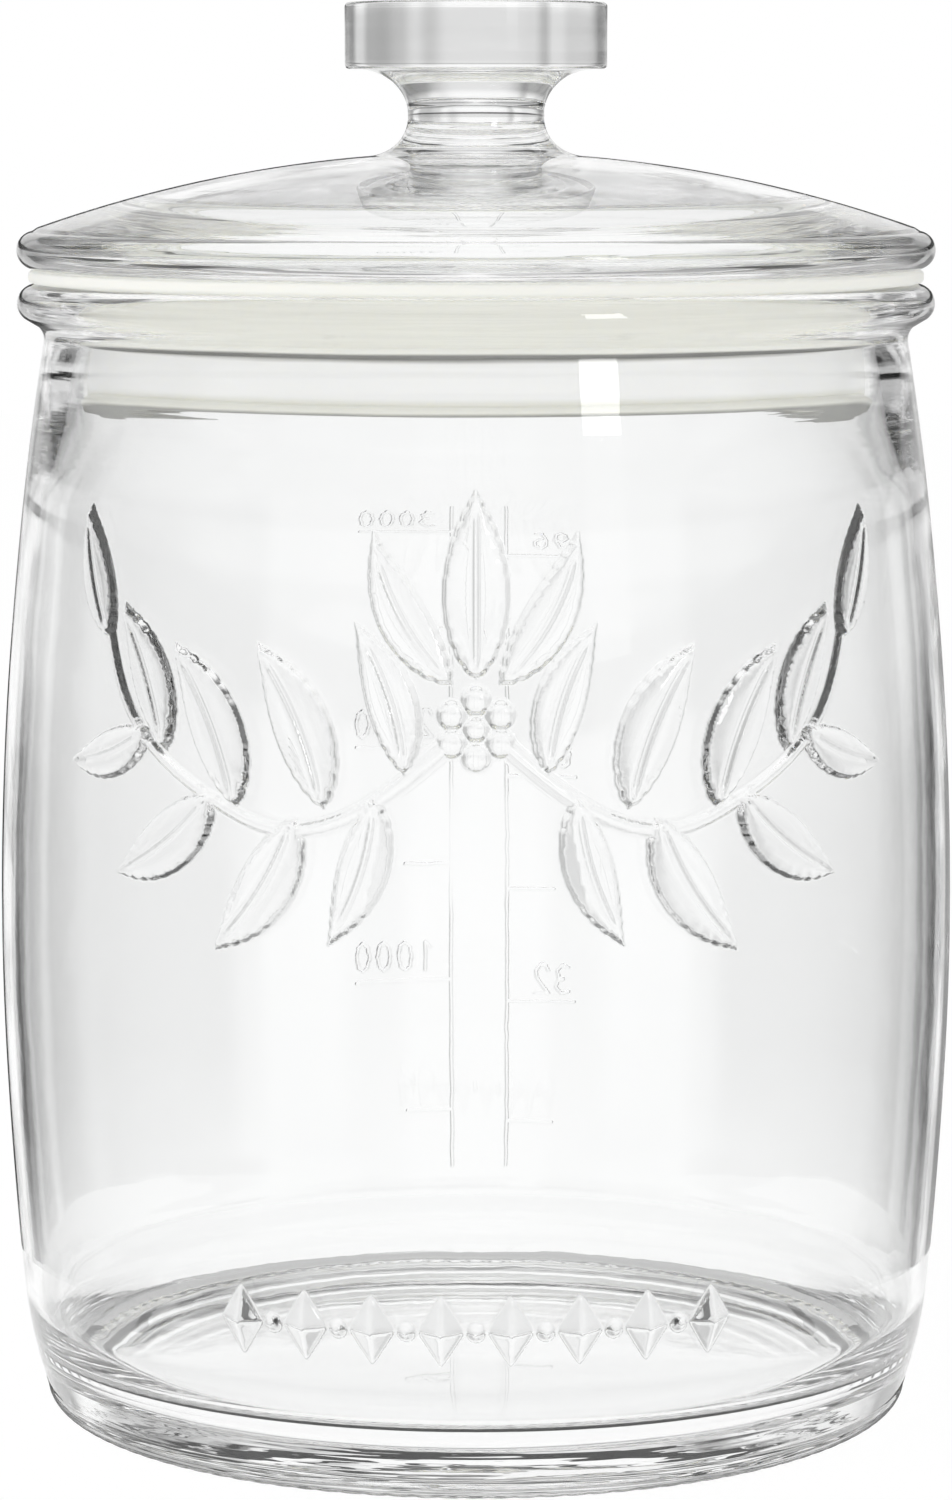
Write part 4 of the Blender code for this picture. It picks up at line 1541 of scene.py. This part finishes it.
@dataclass
class Seal:
    """Silicone seal: flange on the rim, band in the mouth, sleeve and lip round the skirt.

    Args:
        finish: Its silicone.
        lathe: Lathe that turns it.

    The other fields are the lengths of its section, in metres.
    """

    finish: Silicone
    lathe: TurningLathe
    seat_gap: float = 0.0003
    jar_height: float = 0.2044
    jar_rim_radius: float = 0.0828
    mouth_radius: float = 0.0726
    skirt_radius: float = 0.0689
    skirt_fillet: float = 0.0011
    skirt_wall: float = 0.0046
    skirt_depth: float = 0.0215
    flange_thickness: float = 0.0021
    flange_inset: float = 0.0021
    flange_rounding: float = 0.0007
    band_depth: float = 0.0094
    band_clearance: float = 0.0013
    band_fillet: float = 0.0009
    wiper_height: float = 0.0024
    sleeve_wall: float = 0.0009
    taper_height: float = 0.0012
    base_thickness: float = 0.0010
    base_reach: float = 0.0013
    base_height: float = 0.0018
    lip_wall: float = 0.0011
    lip_height: float = 0.0051
    edge_rounding: float = 0.0003

    def section(self) -> Section:
        """Make the closed half section at its place on the jar.

        Returns:
            The section.
        """
        gap = self.seat_gap
        low, high = gap, gap + self.flange_thickness
        outer = self.jar_rim_radius - self.flange_inset - self.flange_rounding
        bore = self.skirt_radius + gap
        sleeve = bore + self.sleeve_wall
        band = self.mouth_radius - self.band_clearance
        wiper = self.mouth_radius - gap
        end_rounding = self.skirt_wall / 2
        skirt_end = self.flange_thickness + 2 * gap - self.skirt_depth
        channel = (self.skirt_radius - end_rounding, skirt_end + end_rounding)
        channel_rounding = end_rounding + gap
        lip_inner = channel[0] - channel_rounding - self.lip_wall
        base = skirt_end - gap - self.base_thickness
        wiper_middle = low - self.band_depth + self.wiper_height / 2
        bore_rounding = self.skirt_fillet - gap
        edge = (self.flange_rounding,) * 2
        points = arc((bore + bore_rounding, high - bore_rounding), (bore_rounding,) * 2, 180, 90, 5)
        points += arc((outer, high - edge[0]), edge, 90, 0, 6)
        points += arc((outer, low + edge[0]), edge, 0, -90, 6)
        points += arc((band + self.band_fillet, low - self.band_fillet),
                      (self.band_fillet,) * 2, 90, 180, 6)
        points += arc((band, wiper_middle), (wiper - band, self.wiper_height / 2), 90, -90, 10)
        points += spline([(band, wiper_middle - self.wiper_height / 2),
                          ((band + sleeve) / 2, low - self.band_depth - self.taper_height / 2),
                          (sleeve, low - self.band_depth - self.taper_height)], 8)[1:]
        points.append((sleeve, base + self.base_height))
        points += arc((sleeve, base + self.base_height / 2),
                      (self.base_reach, self.base_height / 2), 60, -90, 10)
        points += arc((lip_inner + self.edge_rounding, base + self.edge_rounding),
                      (self.edge_rounding,) * 2, 270, 180, 4)
        points += arc((lip_inner + self.lip_wall / 2, base + self.lip_height - self.lip_wall / 2),
                      (self.lip_wall / 2,) * 2, 180, 0, 10)
        points += arc(channel, (channel_rounding,) * 2, 180, 360, 18)
        return Section([(r, z + self.jar_height) for r, z in points], closed=True)

    def build(self) -> bpy.types.Object:
        """Build the seal at its place on the jar's rim.

        Returns:
            The finished object.
        """
        section = self.section()
        rows = section.rows(spacing=0.002, turn=15.0)
        return self.lathe.turn("silicone_seal", section, rows, self.finish.material())


@dataclass
class Lid:
    """Pressed glass lid: dome, rolled rim, hollow skirt, waisted stem and disc knob.

    Args:
        finish: Its glass.
        lathe: Lathe that turns it.

    The other fields are the lengths of its section, in metres.
    """

    finish: Glass
    lathe: TurningLathe
    seat_height: float = 0.2071
    rim_radius: float = 0.0828
    rim_thickness: float = 0.0068
    dome_inset: float = 0.0038
    dome_step: float = 0.0006
    dome_rise: float = 0.01345
    dome_wall: float = 0.0055
    skirt_radius: float = 0.0689
    skirt_wall: float = 0.0046
    skirt_depth: float = 0.0215
    skirt_fillet: float = 0.0011
    crown_fillet: float = 0.0060
    stem_radius: float = 0.0123
    stem_length: float = 0.0147
    lower_flare: float = 0.0077
    lower_flare_height: float = 0.0068
    upper_flare: float = 0.0092
    upper_flare_height: float = 0.0079
    knob_radius: float = 0.0236
    knob_thickness: float = 0.0119
    knob_rounding: float = 0.0008

    def dome(self, edge_height: float, start: float, end: float, steps: int) -> list[Point]:
        """Make a part of a shallow dome.

        Args:
            edge_height: Height of the dome's edge.
            start: First radius.
            end: Last radius.
            steps: Number of chords.

        Returns:
            Its points as radius and height.
        """
        radius = self.rim_radius - self.dome_inset
        sphere = (radius ** 2 + self.dome_rise ** 2) / (2 * self.dome_rise)
        middle = edge_height + self.dome_rise - sphere
        return [(float(r), middle + math.sqrt(sphere ** 2 - r ** 2))
                for r in np.linspace(start, end, steps + 1)]

    def section(self) -> Section:
        """Make the half section from the knob's top to the underside of the dome.

        Returns:
            The section.
        """
        edge_height = self.rim_thickness + self.dome_step
        knob_low = edge_height + self.dome_rise + self.stem_length
        knob_high = knob_low + self.knob_thickness
        edge = (self.knob_rounding,) * 2
        flare_radius = self.stem_radius + self.lower_flare
        dome = self.dome(edge_height, flare_radius, self.rim_radius - self.dome_inset, 60)
        half = self.rim_thickness / 2
        end_rounding = self.skirt_wall / 2
        crown_radius = self.skirt_radius - self.skirt_wall - self.crown_fillet
        crown = self.dome(edge_height - self.dome_wall, crown_radius, 0, 50)
        points = [(0.0, knob_high)]
        points += arc((self.knob_radius - edge[0], knob_high - edge[0]), edge, 90, 0, 8)
        points += arc((self.knob_radius - edge[0], knob_low + edge[0]), edge, 0, -90, 8)
        points += arc((self.stem_radius + self.upper_flare, knob_low - self.upper_flare_height),
                      (self.upper_flare, self.upper_flare_height), 90, 180, 24)
        points += arc((flare_radius, dome[0][1] + self.lower_flare_height),
                      (self.lower_flare, self.lower_flare_height), 180, 270, 24)
        points += dome[1:]
        points += arc((self.rim_radius - half, half), (half, half), 80, -90, 30)
        points += arc((self.skirt_radius + self.skirt_fillet, -self.skirt_fillet),
                      (self.skirt_fillet,) * 2, 90, 180, 8)
        points += arc((self.skirt_radius - end_rounding, end_rounding - self.skirt_depth),
                      (end_rounding,) * 2, 0, -180, 20)
        points += arc((crown_radius, crown[0][1] - self.crown_fillet),
                      (self.crown_fillet,) * 2, 0, 90, 18)
        points += crown[1:]
        return Section([(r, z + self.seat_height) for r, z in points])

    def build(self) -> bpy.types.Object:
        """Build the lid at its seat on the seal.

        Returns:
            The finished object.
        """
        section = self.section()
        rows = section.rows(spacing=0.004, turn=6.0)
        return self.lathe.turn("glass_lid", section, rows, self.finish.material())


def glow_material(name: str, level: float) -> bpy.types.Material:
    """Make a plain even surface for the studio, white for light that has met paint or rubber.

    Args:
        name: Name of the material.
        level: Its level for all other light.

    Returns:
        The finished material.
    """
    material, tree = new_material(name)
    tree.nodes.clear()
    path, level_node = tree.nodes.new("ShaderNodeLightPath"), tree.nodes.new("ShaderNodeMapRange")
    glow, out = tree.nodes.new("ShaderNodeEmission"), tree.nodes.new("ShaderNodeOutputMaterial")
    glow.inputs["Color"].default_value = (1, 1, 1, 1)
    level_node.inputs["To Min"].default_value = level
    level_node.inputs["To Max"].default_value = 1.0
    tree.links.new(path.outputs["Diffuse Depth"], level_node.inputs["Value"])
    tree.links.new(level_node.outputs["Result"], glow.inputs["Strength"])
    tree.links.new(glow.outputs["Emission"], out.inputs["Surface"])
    return material


def stage_piece(name: str, points: list[tuple[float, float, float]], faces: list[tuple[int, ...]],
                material: bpy.types.Material) -> bpy.types.Object:
    """Make an object of the studio.

    Args:
        name: Name of the object.
        points: Its vertices.
        faces: Its faces.
        material: Its finish.

    Returns:
        The new object.
    """
    mesh = bpy.data.meshes.new(name)
    mesh.from_pydata(points, [], faces)
    mesh.materials.append(material)
    piece = add_object(name, mesh)
    return piece


def mixed(tree: Tree, share: Socket | None, first: Socket | None, second: Socket | None,
          blend: Blend = Blend.MIX) -> Socket:
    """Add a mix of two colours.

    Args:
        tree: Tree that gets it.
        share: Socket of the second colour's share, or nothing for the whole.
        first: Socket of the first colour, or nothing for white.
        second: Socket of the second colour, or nothing for white.
        blend: How they are put together.

    Returns:
        Socket of the colour.
    """
    mix = tree.nodes.new("ShaderNodeMix")
    mix.data_type = "RGBA"
    mix.blend_type = blend.value
    mix.inputs["Factor"].default_value = 1.0
    if share is not None:
        tree.links.new(share, mix.inputs["Factor"])
    for socket, name in ((first, "A"), (second, "B")):
        colour = next(s for s in mix.inputs if s.name == name and s.type == "RGBA")
        if socket is None:
            colour.default_value = (1, 1, 1, 1)
        else:
            tree.links.new(socket, colour)
    return next(s for s in mix.outputs if s.type == "RGBA")


@dataclass(frozen=True)
class Surround:
    """White world whose dark strips and rings show only in the glass.

    Azimuths are in degrees from straight behind the jar, positive towards the right. Heights
    are those of the direction, from -1 to 1.

    Args:
        reflected: Level by azimuth, for light that the glass has thrown back.
        through: Level by azimuth, for light that has only passed through.
        ring: Share of that level by height, for what is seen through.
        horizon: Further share for what is seen through one solid piece, such as the knob.
        reflected_ring: Share by height for what is reflected.
        low: Height below the first of which all is white, and above the second nothing changes.
        high: Heights between which the reflected sides turn into those seen through.
        backdrop: Share of white by azimuth above the backdrop's foot, for what is reflected once.
        backdrop_foot: Heights between which that white sets in.
        once: Number of reflections that counts as one.
        one_piece: Number of passages through the glass that counts as one solid piece.
        least: Number of reflections, or of meetings with paint or rubber, from which they count.
    """

    reflected: Stops = (
        (-165, 1.0), (-160, 0.75), (-151, 0.75), (-146, 1.0), (-124, 0.9), (-117, 0.15), (-60, 0.15),
        (-51, 0.35), (-41, 0.35), (-36, 0.08), (-30, 0.08), (-27, 1.0), (-16, 1.0), (-13.5, 0.04),
        (-5.5, 0.04), (-4, 1.0), (4, 1.0), (7, 0.3), (20, 0.3), (23, 1.0), (27, 1.0), (30, 0.03),
        (47, 0.03), (52, 0.4), (58, 0.4), (63, 0.12), (117, 0.12), (124, 0.9), (146, 1.0),
        (151, 0.75), (160, 0.75), (165, 1.0))
    through: Stops = (
        (-180, 0.9), (-130, 0.6), (-112, 0.7), (-96, 0.3), (-78, 0.4), (-63, 0.3), (-47, 0.88),
        (-34, 0.86), (-29, 1.0), (-26, 1.0), (-22, 0.62), (-18, 0.93), (-10, 1.0), (8, 1.0),
        (14, 0.76), (19, 0.95), (25, 0.70), (34, 0.56), (43, 0.60), (50, 1.0), (54, 1.0), (63, 0.3),
        (78, 0.4), (96, 0.3), (112, 0.7), (130, 0.6), (180, 0.9))
    ring: Stops = ((0.0, 1.0), (0.25, 1.0), (0.42, 0.35), (0.55, 0.35), (0.75, 1.0))
    horizon: Stops = (
        (0.0, 1.0), (0.004, 1.0), (0.011, 0.76), (0.050, 0.76), (0.054, 0.1), (0.074, 0.1),
        (0.078, 0.76), (0.10, 1.0))
    reflected_ring: Stops = (
        (0.0, 1.0), (0.014, 1.0), (0.022, 0.03), (0.062, 0.03), (0.072, 0.95), (0.24, 0.95),
        (0.285, 0.06), (0.58, 0.06), (0.64, 1.0))
    low: Point = (-0.34, -0.22)
    high: Point = (-0.10, -0.035)
    backdrop: Stops = ((-180, 0.0), (-24, 0.0), (-10, 0.62), (10, 0.62), (24, 0.0), (180, 0.0))
    backdrop_foot: Point = (0.10, 0.14)
    once: float = 1.5
    one_piece: float = 2.5
    least: float = 0.5

    def by_azimuth(self, tree: Tree, azimuth: Socket, stops: Stops) -> Socket:
        """Add an eased ramp of levels by azimuth.

        Args:
            tree: The world's tree.
            azimuth: Socket of the azimuth as a share of the whole round.
            stops: Azimuths with their levels.

        Returns:
            Socket of the level.
        """
        shares = tuple((0.5 + angle / 360, level) for angle, level in stops)
        return level_ramp(tree, azimuth, shares, Easing.EASED)

    def seen_in_glass(self, tree: Tree, path: bpy.types.Node) -> Socket:
        """Put the ramps together for what the glass shows.

        Args:
            tree: The world's tree.
            path: Its Light Path node.

        Returns:
            Socket of the colour.
        """
        way, parts = tree.nodes.new("ShaderNodeTexCoord"), tree.nodes.new("ShaderNodeSeparateXYZ")
        tree.links.new(way.outputs["Generated"], parts.inputs["Vector"])
        up = parts.outputs["Z"]
        turn = calculate(tree, Sum.DIRECTION, parts.outputs["X"], parts.outputs["Y"])
        azimuth = calculate(tree, Sum.MULTIPLY_ADD, turn, 1 / math.tau, 0.5)
        reflected, through, backdrop = (
            self.by_azimuth(tree, azimuth, stops)
            for stops in (self.reflected, self.through, self.backdrop))
        ring, reflected_ring, horizon = (
            level_ramp(tree, up, stops, Easing.EASED)
            for stops in (self.ring, self.reflected_ring, self.horizon))
        low, high, foot = (
            between(tree, up, limits) for limits in (self.low[::-1], self.high, self.backdrop_foot))
        thrown = calculate(tree, Sum.ABOVE, path.outputs["Glossy Depth"], self.least)
        once = calculate(tree, Sum.BELOW, path.outputs["Glossy Depth"], self.once)
        solid = calculate(tree, Sum.BELOW, path.outputs["Transmission Depth"], self.one_piece)
        white = calculate(tree, Sum.MULTIPLY, mixed(tree, None, backdrop, foot, Blend.TIMES), once)
        through = mixed(tree, None, through, mixed(tree, solid, None, horizon), Blend.TIMES)
        sides = mixed(tree, thrown, through, mixed(tree, high, reflected, through))
        dim = mixed(tree, None, mixed(tree, thrown, ring, reflected_ring), sides, Blend.TIMES)
        return mixed(tree, low, mixed(tree, white, dim, None), None)

    def build(self) -> None:
        """Make the world: white for the camera and for light that has met paint or rubber."""
        world = bpy.data.worlds.new("studio")
        bpy.context.scene.world = world
        world.use_nodes = True
        tree = world.node_tree
        tree.nodes.clear()
        path = tree.nodes.new("ShaderNodeLightPath")
        painted = calculate(tree, Sum.ABOVE, path.outputs["Diffuse Depth"], self.least)
        lit = mixed(tree, painted, self.seen_in_glass(tree, path), None)
        background, out = tree.nodes.new("ShaderNodeBackground"), tree.nodes.new("ShaderNodeOutputWorld")
        background.inputs["Strength"].default_value = 1.0
        tree.links.new(mixed(tree, path.outputs["Is Camera Ray"], lit, None), background.inputs["Color"])
        tree.links.new(background.outputs["Background"], out.inputs["Surface"])


@dataclass(frozen=True)
class Softbox:
    """Tall soft light that shows only as a reflection, right of the middle.

    Args:
        parts: Name, lower and upper end and level of each part: the lit part and its dim foot.
        distance: Its distance from the axis.
        azimuth: Its direction to the right of the camera's, in degrees.
        width: Its width in degrees.
        panels: Number of flat panels across it.
    """

    parts: tuple[tuple[str, float, float, float], ...] = (
        ("softbox", 0.505, 1.0, 7.0), ("softbox_foot", 0.24, 0.505, 0.9))
    distance: float = 1.6
    azimuth: float = 31.5
    width: float = 10.0
    panels: int = 4

    def build(self) -> None:
        """Stand both parts."""
        faces = [(2 * i, 2 * i + 1, 2 * i + 3, 2 * i + 2) for i in range(self.panels)]
        for name, low, high, level in self.parts:
            points = []
            for share in np.linspace(-0.5, 0.5, self.panels + 1):
                turn = math.radians(self.azimuth + self.width * share)
                points += [(self.distance * math.sin(turn), -self.distance * math.cos(turn), z)
                           for z in (low, high)]
            box = stage_piece(name, points, faces, glow_material(name, level))
            box.visible_camera = box.visible_diffuse = False
            box.visible_shadow = box.visible_transmission = False


@dataclass(frozen=True)
class Floor:
    """Plain white floor, with a dark ring of painted contact shadow where the heel stands.

    Args:
        radius: Reach of the round floor.
        near_radius: Reach of the part that shows in and through the glass.
        height: Height of the floor.
        paint: Level of its paint.
        shown: Share of pure white in it, for what is seen straight, in or through the glass.
        line_radii: Inner and outer radius of the ring of painted contact shadow.
        line_height: Height of that ring.
        line_arcs: Name, first and last angle in degrees and level of each arc of the ring of
            painted contact shadow, which is dark in front and paler behind.
        panels: Number of faces round a ring or an arc.
    """

    radius: float = 3.0
    near_radius: float = 0.15
    height: float = -0.0002
    paint: float = 0.93
    shown: float = 0.95
    line_radii: Point = (0.0762, 0.0815)
    line_height: float = -0.0001
    # Painted contact shadow: dark arcs under the heel, darkest in front.
    line_arcs: tuple[tuple[str, Point, float], ...] = (
        ("painted_contact_shadow", (-195.0, 15.0), 0.03), ("painted_contact_shadow_back", (15.0, 165.0), 0.5))
    panels: int = 128

    def material(self) -> bpy.types.Material:
        """Build the floor's finish: paint that looks white to the camera and in the glass.

        Returns:
            The finished material.
        """
        material, tree = new_material("studio_floor")
        tree.nodes.clear()
        path, out = tree.nodes.new("ShaderNodeLightPath"), tree.nodes.new("ShaderNodeOutputMaterial")
        paint, glow = tree.nodes.new("ShaderNodeBsdfDiffuse"), tree.nodes.new("ShaderNodeEmission")
        mix = tree.nodes.new("ShaderNodeMixShader")
        paint.inputs["Color"].default_value = (self.paint,) * 3 + (1.0,)
        glow.inputs["Color"].default_value = (1, 1, 1, 1)
        glow.inputs["Strength"].default_value = 1.0
        seen = calculate(tree, Sum.MAXIMUM, path.outputs["Is Camera Ray"], path.outputs["Is Glossy Ray"])
        seen = calculate(tree, Sum.MAXIMUM, seen, path.outputs["Is Transmission Ray"])
        tree.links.new(calculate(tree, Sum.MULTIPLY, seen, self.shown), mix.inputs["Fac"])
        tree.links.new(paint.outputs["BSDF"], mix.inputs[1])
        tree.links.new(glow.outputs["Emission"], mix.inputs[2])
        tree.links.new(mix.outputs["Shader"], out.inputs["Surface"])
        return material

    def ring(self, name: str, radii: Point, height: float, material: bpy.types.Material,
             span: Point = (0.0, 360.0)) -> bpy.types.Object:
        """Make a level ring or arc.

        Args:
            name: Name of the object.
            radii: Its inner and outer radius.
            height: Its height.
            material: Its finish.
            span: Its first and last angle in degrees.

        Returns:
            The new object.
        """
        points, faces = [], []
        for index in range(self.panels + 1):
            angle = math.radians(span[0] + (span[1] - span[0]) * index / self.panels)
            points += [(r * math.cos(angle), r * math.sin(angle), height) for r in radii]
            if index:
                faces.append((2 * index - 2, 2 * index - 1, 2 * index + 1, 2 * index))
        return stage_piece(name, points, faces, material)

    def build(self) -> None:
        """Lay the floor, whose outer part the glass doesn't show."""
        material = self.material()
        self.ring("studio_floor", (0.0, self.near_radius), self.height, material)
        outer = self.ring("studio_floor_outer", (self.near_radius, self.radius), self.height, material)
        outer.visible_glossy = outer.visible_transmission = False

    def build_contact_shadow(self) -> None:
        """Lay a dark ring of painted contact shadow where the heel meets the floor, seen only through the
        glass.
        """
        for name, span, level in self.line_arcs:
            # Each arc is painted shadow: a dark glowing sheet at its level.
            line = self.ring(name, self.line_radii, self.line_height, glow_material(name, level), span)
            line.visible_camera = line.visible_diffuse = line.visible_shadow = False


@dataclass(frozen=True)
class Studio:
    """Plain light, pale floor, white surround and the camera.

    Args:
        surround: The world round the jar.
        floor: What it stands on.
        softbox: Light that shows as a reflection.
        camera_distance: Distance of the camera in front of the axis.
        camera_height: Height of the camera.
        camera_pitch: Angle by which it looks down, in degrees.
        lens: Focal length for the long side of the sensor.
        sensor: Long side of the sensor in millimetres.
        clip: Nearest and furthest distance that it shows.
        lamp_place: Place of the soft lamp, above, to the left of the camera.
        lamp_turn: Its turn about X and Z in degrees.
        lamp_size: Its side.
        lamp_power: Its power in watts.
        glass_bounces: Layers of glass that light may pass.
        reflection_bounces: Reflections that it may meet.
        paint_bounces: Painted surfaces that it may meet.
    """

    surround: Surround = Surround()
    floor: Floor = Floor()
    softbox: Softbox = Softbox()
    camera_distance: float = 0.900
    camera_height: float = 0.2354
    camera_pitch: float = 7.36
    lens: float = 118.94
    sensor: float = 36.0
    clip: Point = (0.01, 50.0)
    lamp_place: tuple[float, float, float] = (-0.7, -0.6, 1.1)
    lamp_turn: Point = (38.0, -49.0)
    lamp_size: float = 0.8
    lamp_power: float = 3.0
    glass_bounces: int = 32
    reflection_bounces: int = 24
    paint_bounces: int = 4

    def camera(self) -> None:
        """Create the camera at the photograph's viewpoint."""
        data = bpy.data.cameras.new("studio_camera")
        data.lens, data.sensor_width = self.lens, self.sensor
        data.clip_start, data.clip_end = self.clip
        camera = add_object("studio_camera", data)
        camera.location = (0, -self.camera_distance, self.camera_height)
        camera.rotation_euler = (math.radians(90 - self.camera_pitch), 0, 0)
        bpy.context.scene.camera = camera

    def lamp(self) -> None:
        """Hang the soft lamp."""
        data = bpy.data.lights.new("soft_lamp", "AREA")
        data.shape = "RECTANGLE"
        data.size = data.size_y = self.lamp_size
        data.energy = self.lamp_power
        lamp = add_object("soft_lamp", data)
        lamp.location = self.lamp_place
        lamp.rotation_euler = (math.radians(self.lamp_turn[0]), 0, math.radians(self.lamp_turn[1]))
        lamp.visible_glossy = lamp.visible_transmission = lamp.visible_camera = False

    def build(self) -> None:
        """Set the studio up and let light pass through enough layers of glass."""
        self.camera()
        self.surround.build()
        self.floor.build()
        self.lamp()
        self.floor.build_contact_shadow()
        self.softbox.build()
        scene = bpy.context.scene
        scene.view_settings.view_transform = "Standard"
        scene.cycles.max_bounces = self.glass_bounces
        scene.cycles.transmission_bounces = self.glass_bounces
        scene.cycles.transparent_max_bounces = self.glass_bounces
        scene.cycles.glossy_bounces = self.reflection_bounces
        scene.cycles.diffuse_bounces = self.paint_bounces
        scene.cycles.blur_glossy = 0.0


def dress(piece: bpy.types.Object, body: str, node: str) -> None:
    """Put a piece in the place of a CAD node and report it.

    Args:
        piece: The finished piece.
        body: Body that it moves with.
        node: CAD node that it stands for.
    """
    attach(piece, body)
    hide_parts(node)
    piece.data.calc_loop_triangles()
    LOG.info("%s: %d triangles, on body %s", piece.name, len(piece.data.loop_triangles), body)


def main() -> None:
    """Build the studio and the three pieces."""
    logging.basicConfig(level=logging.INFO, format="%(message)s")
    Studio().build()
    lathe = TurningLathe()
    relief = Relief([LeafGarland(), FootBorder(), MeasuringScale()])
    dress(Jar(relief, Glass("clear_jar_glass")).build(), "jar", "jar_body")
    dress(Seal(Silicone("off_white_silicone"), lathe).build(), "seal", "seal_ring")
    dress(Lid(Glass("clear_lid_glass"), lathe).build(), "lid", "lid")


if __name__ == "__main__":
    main()
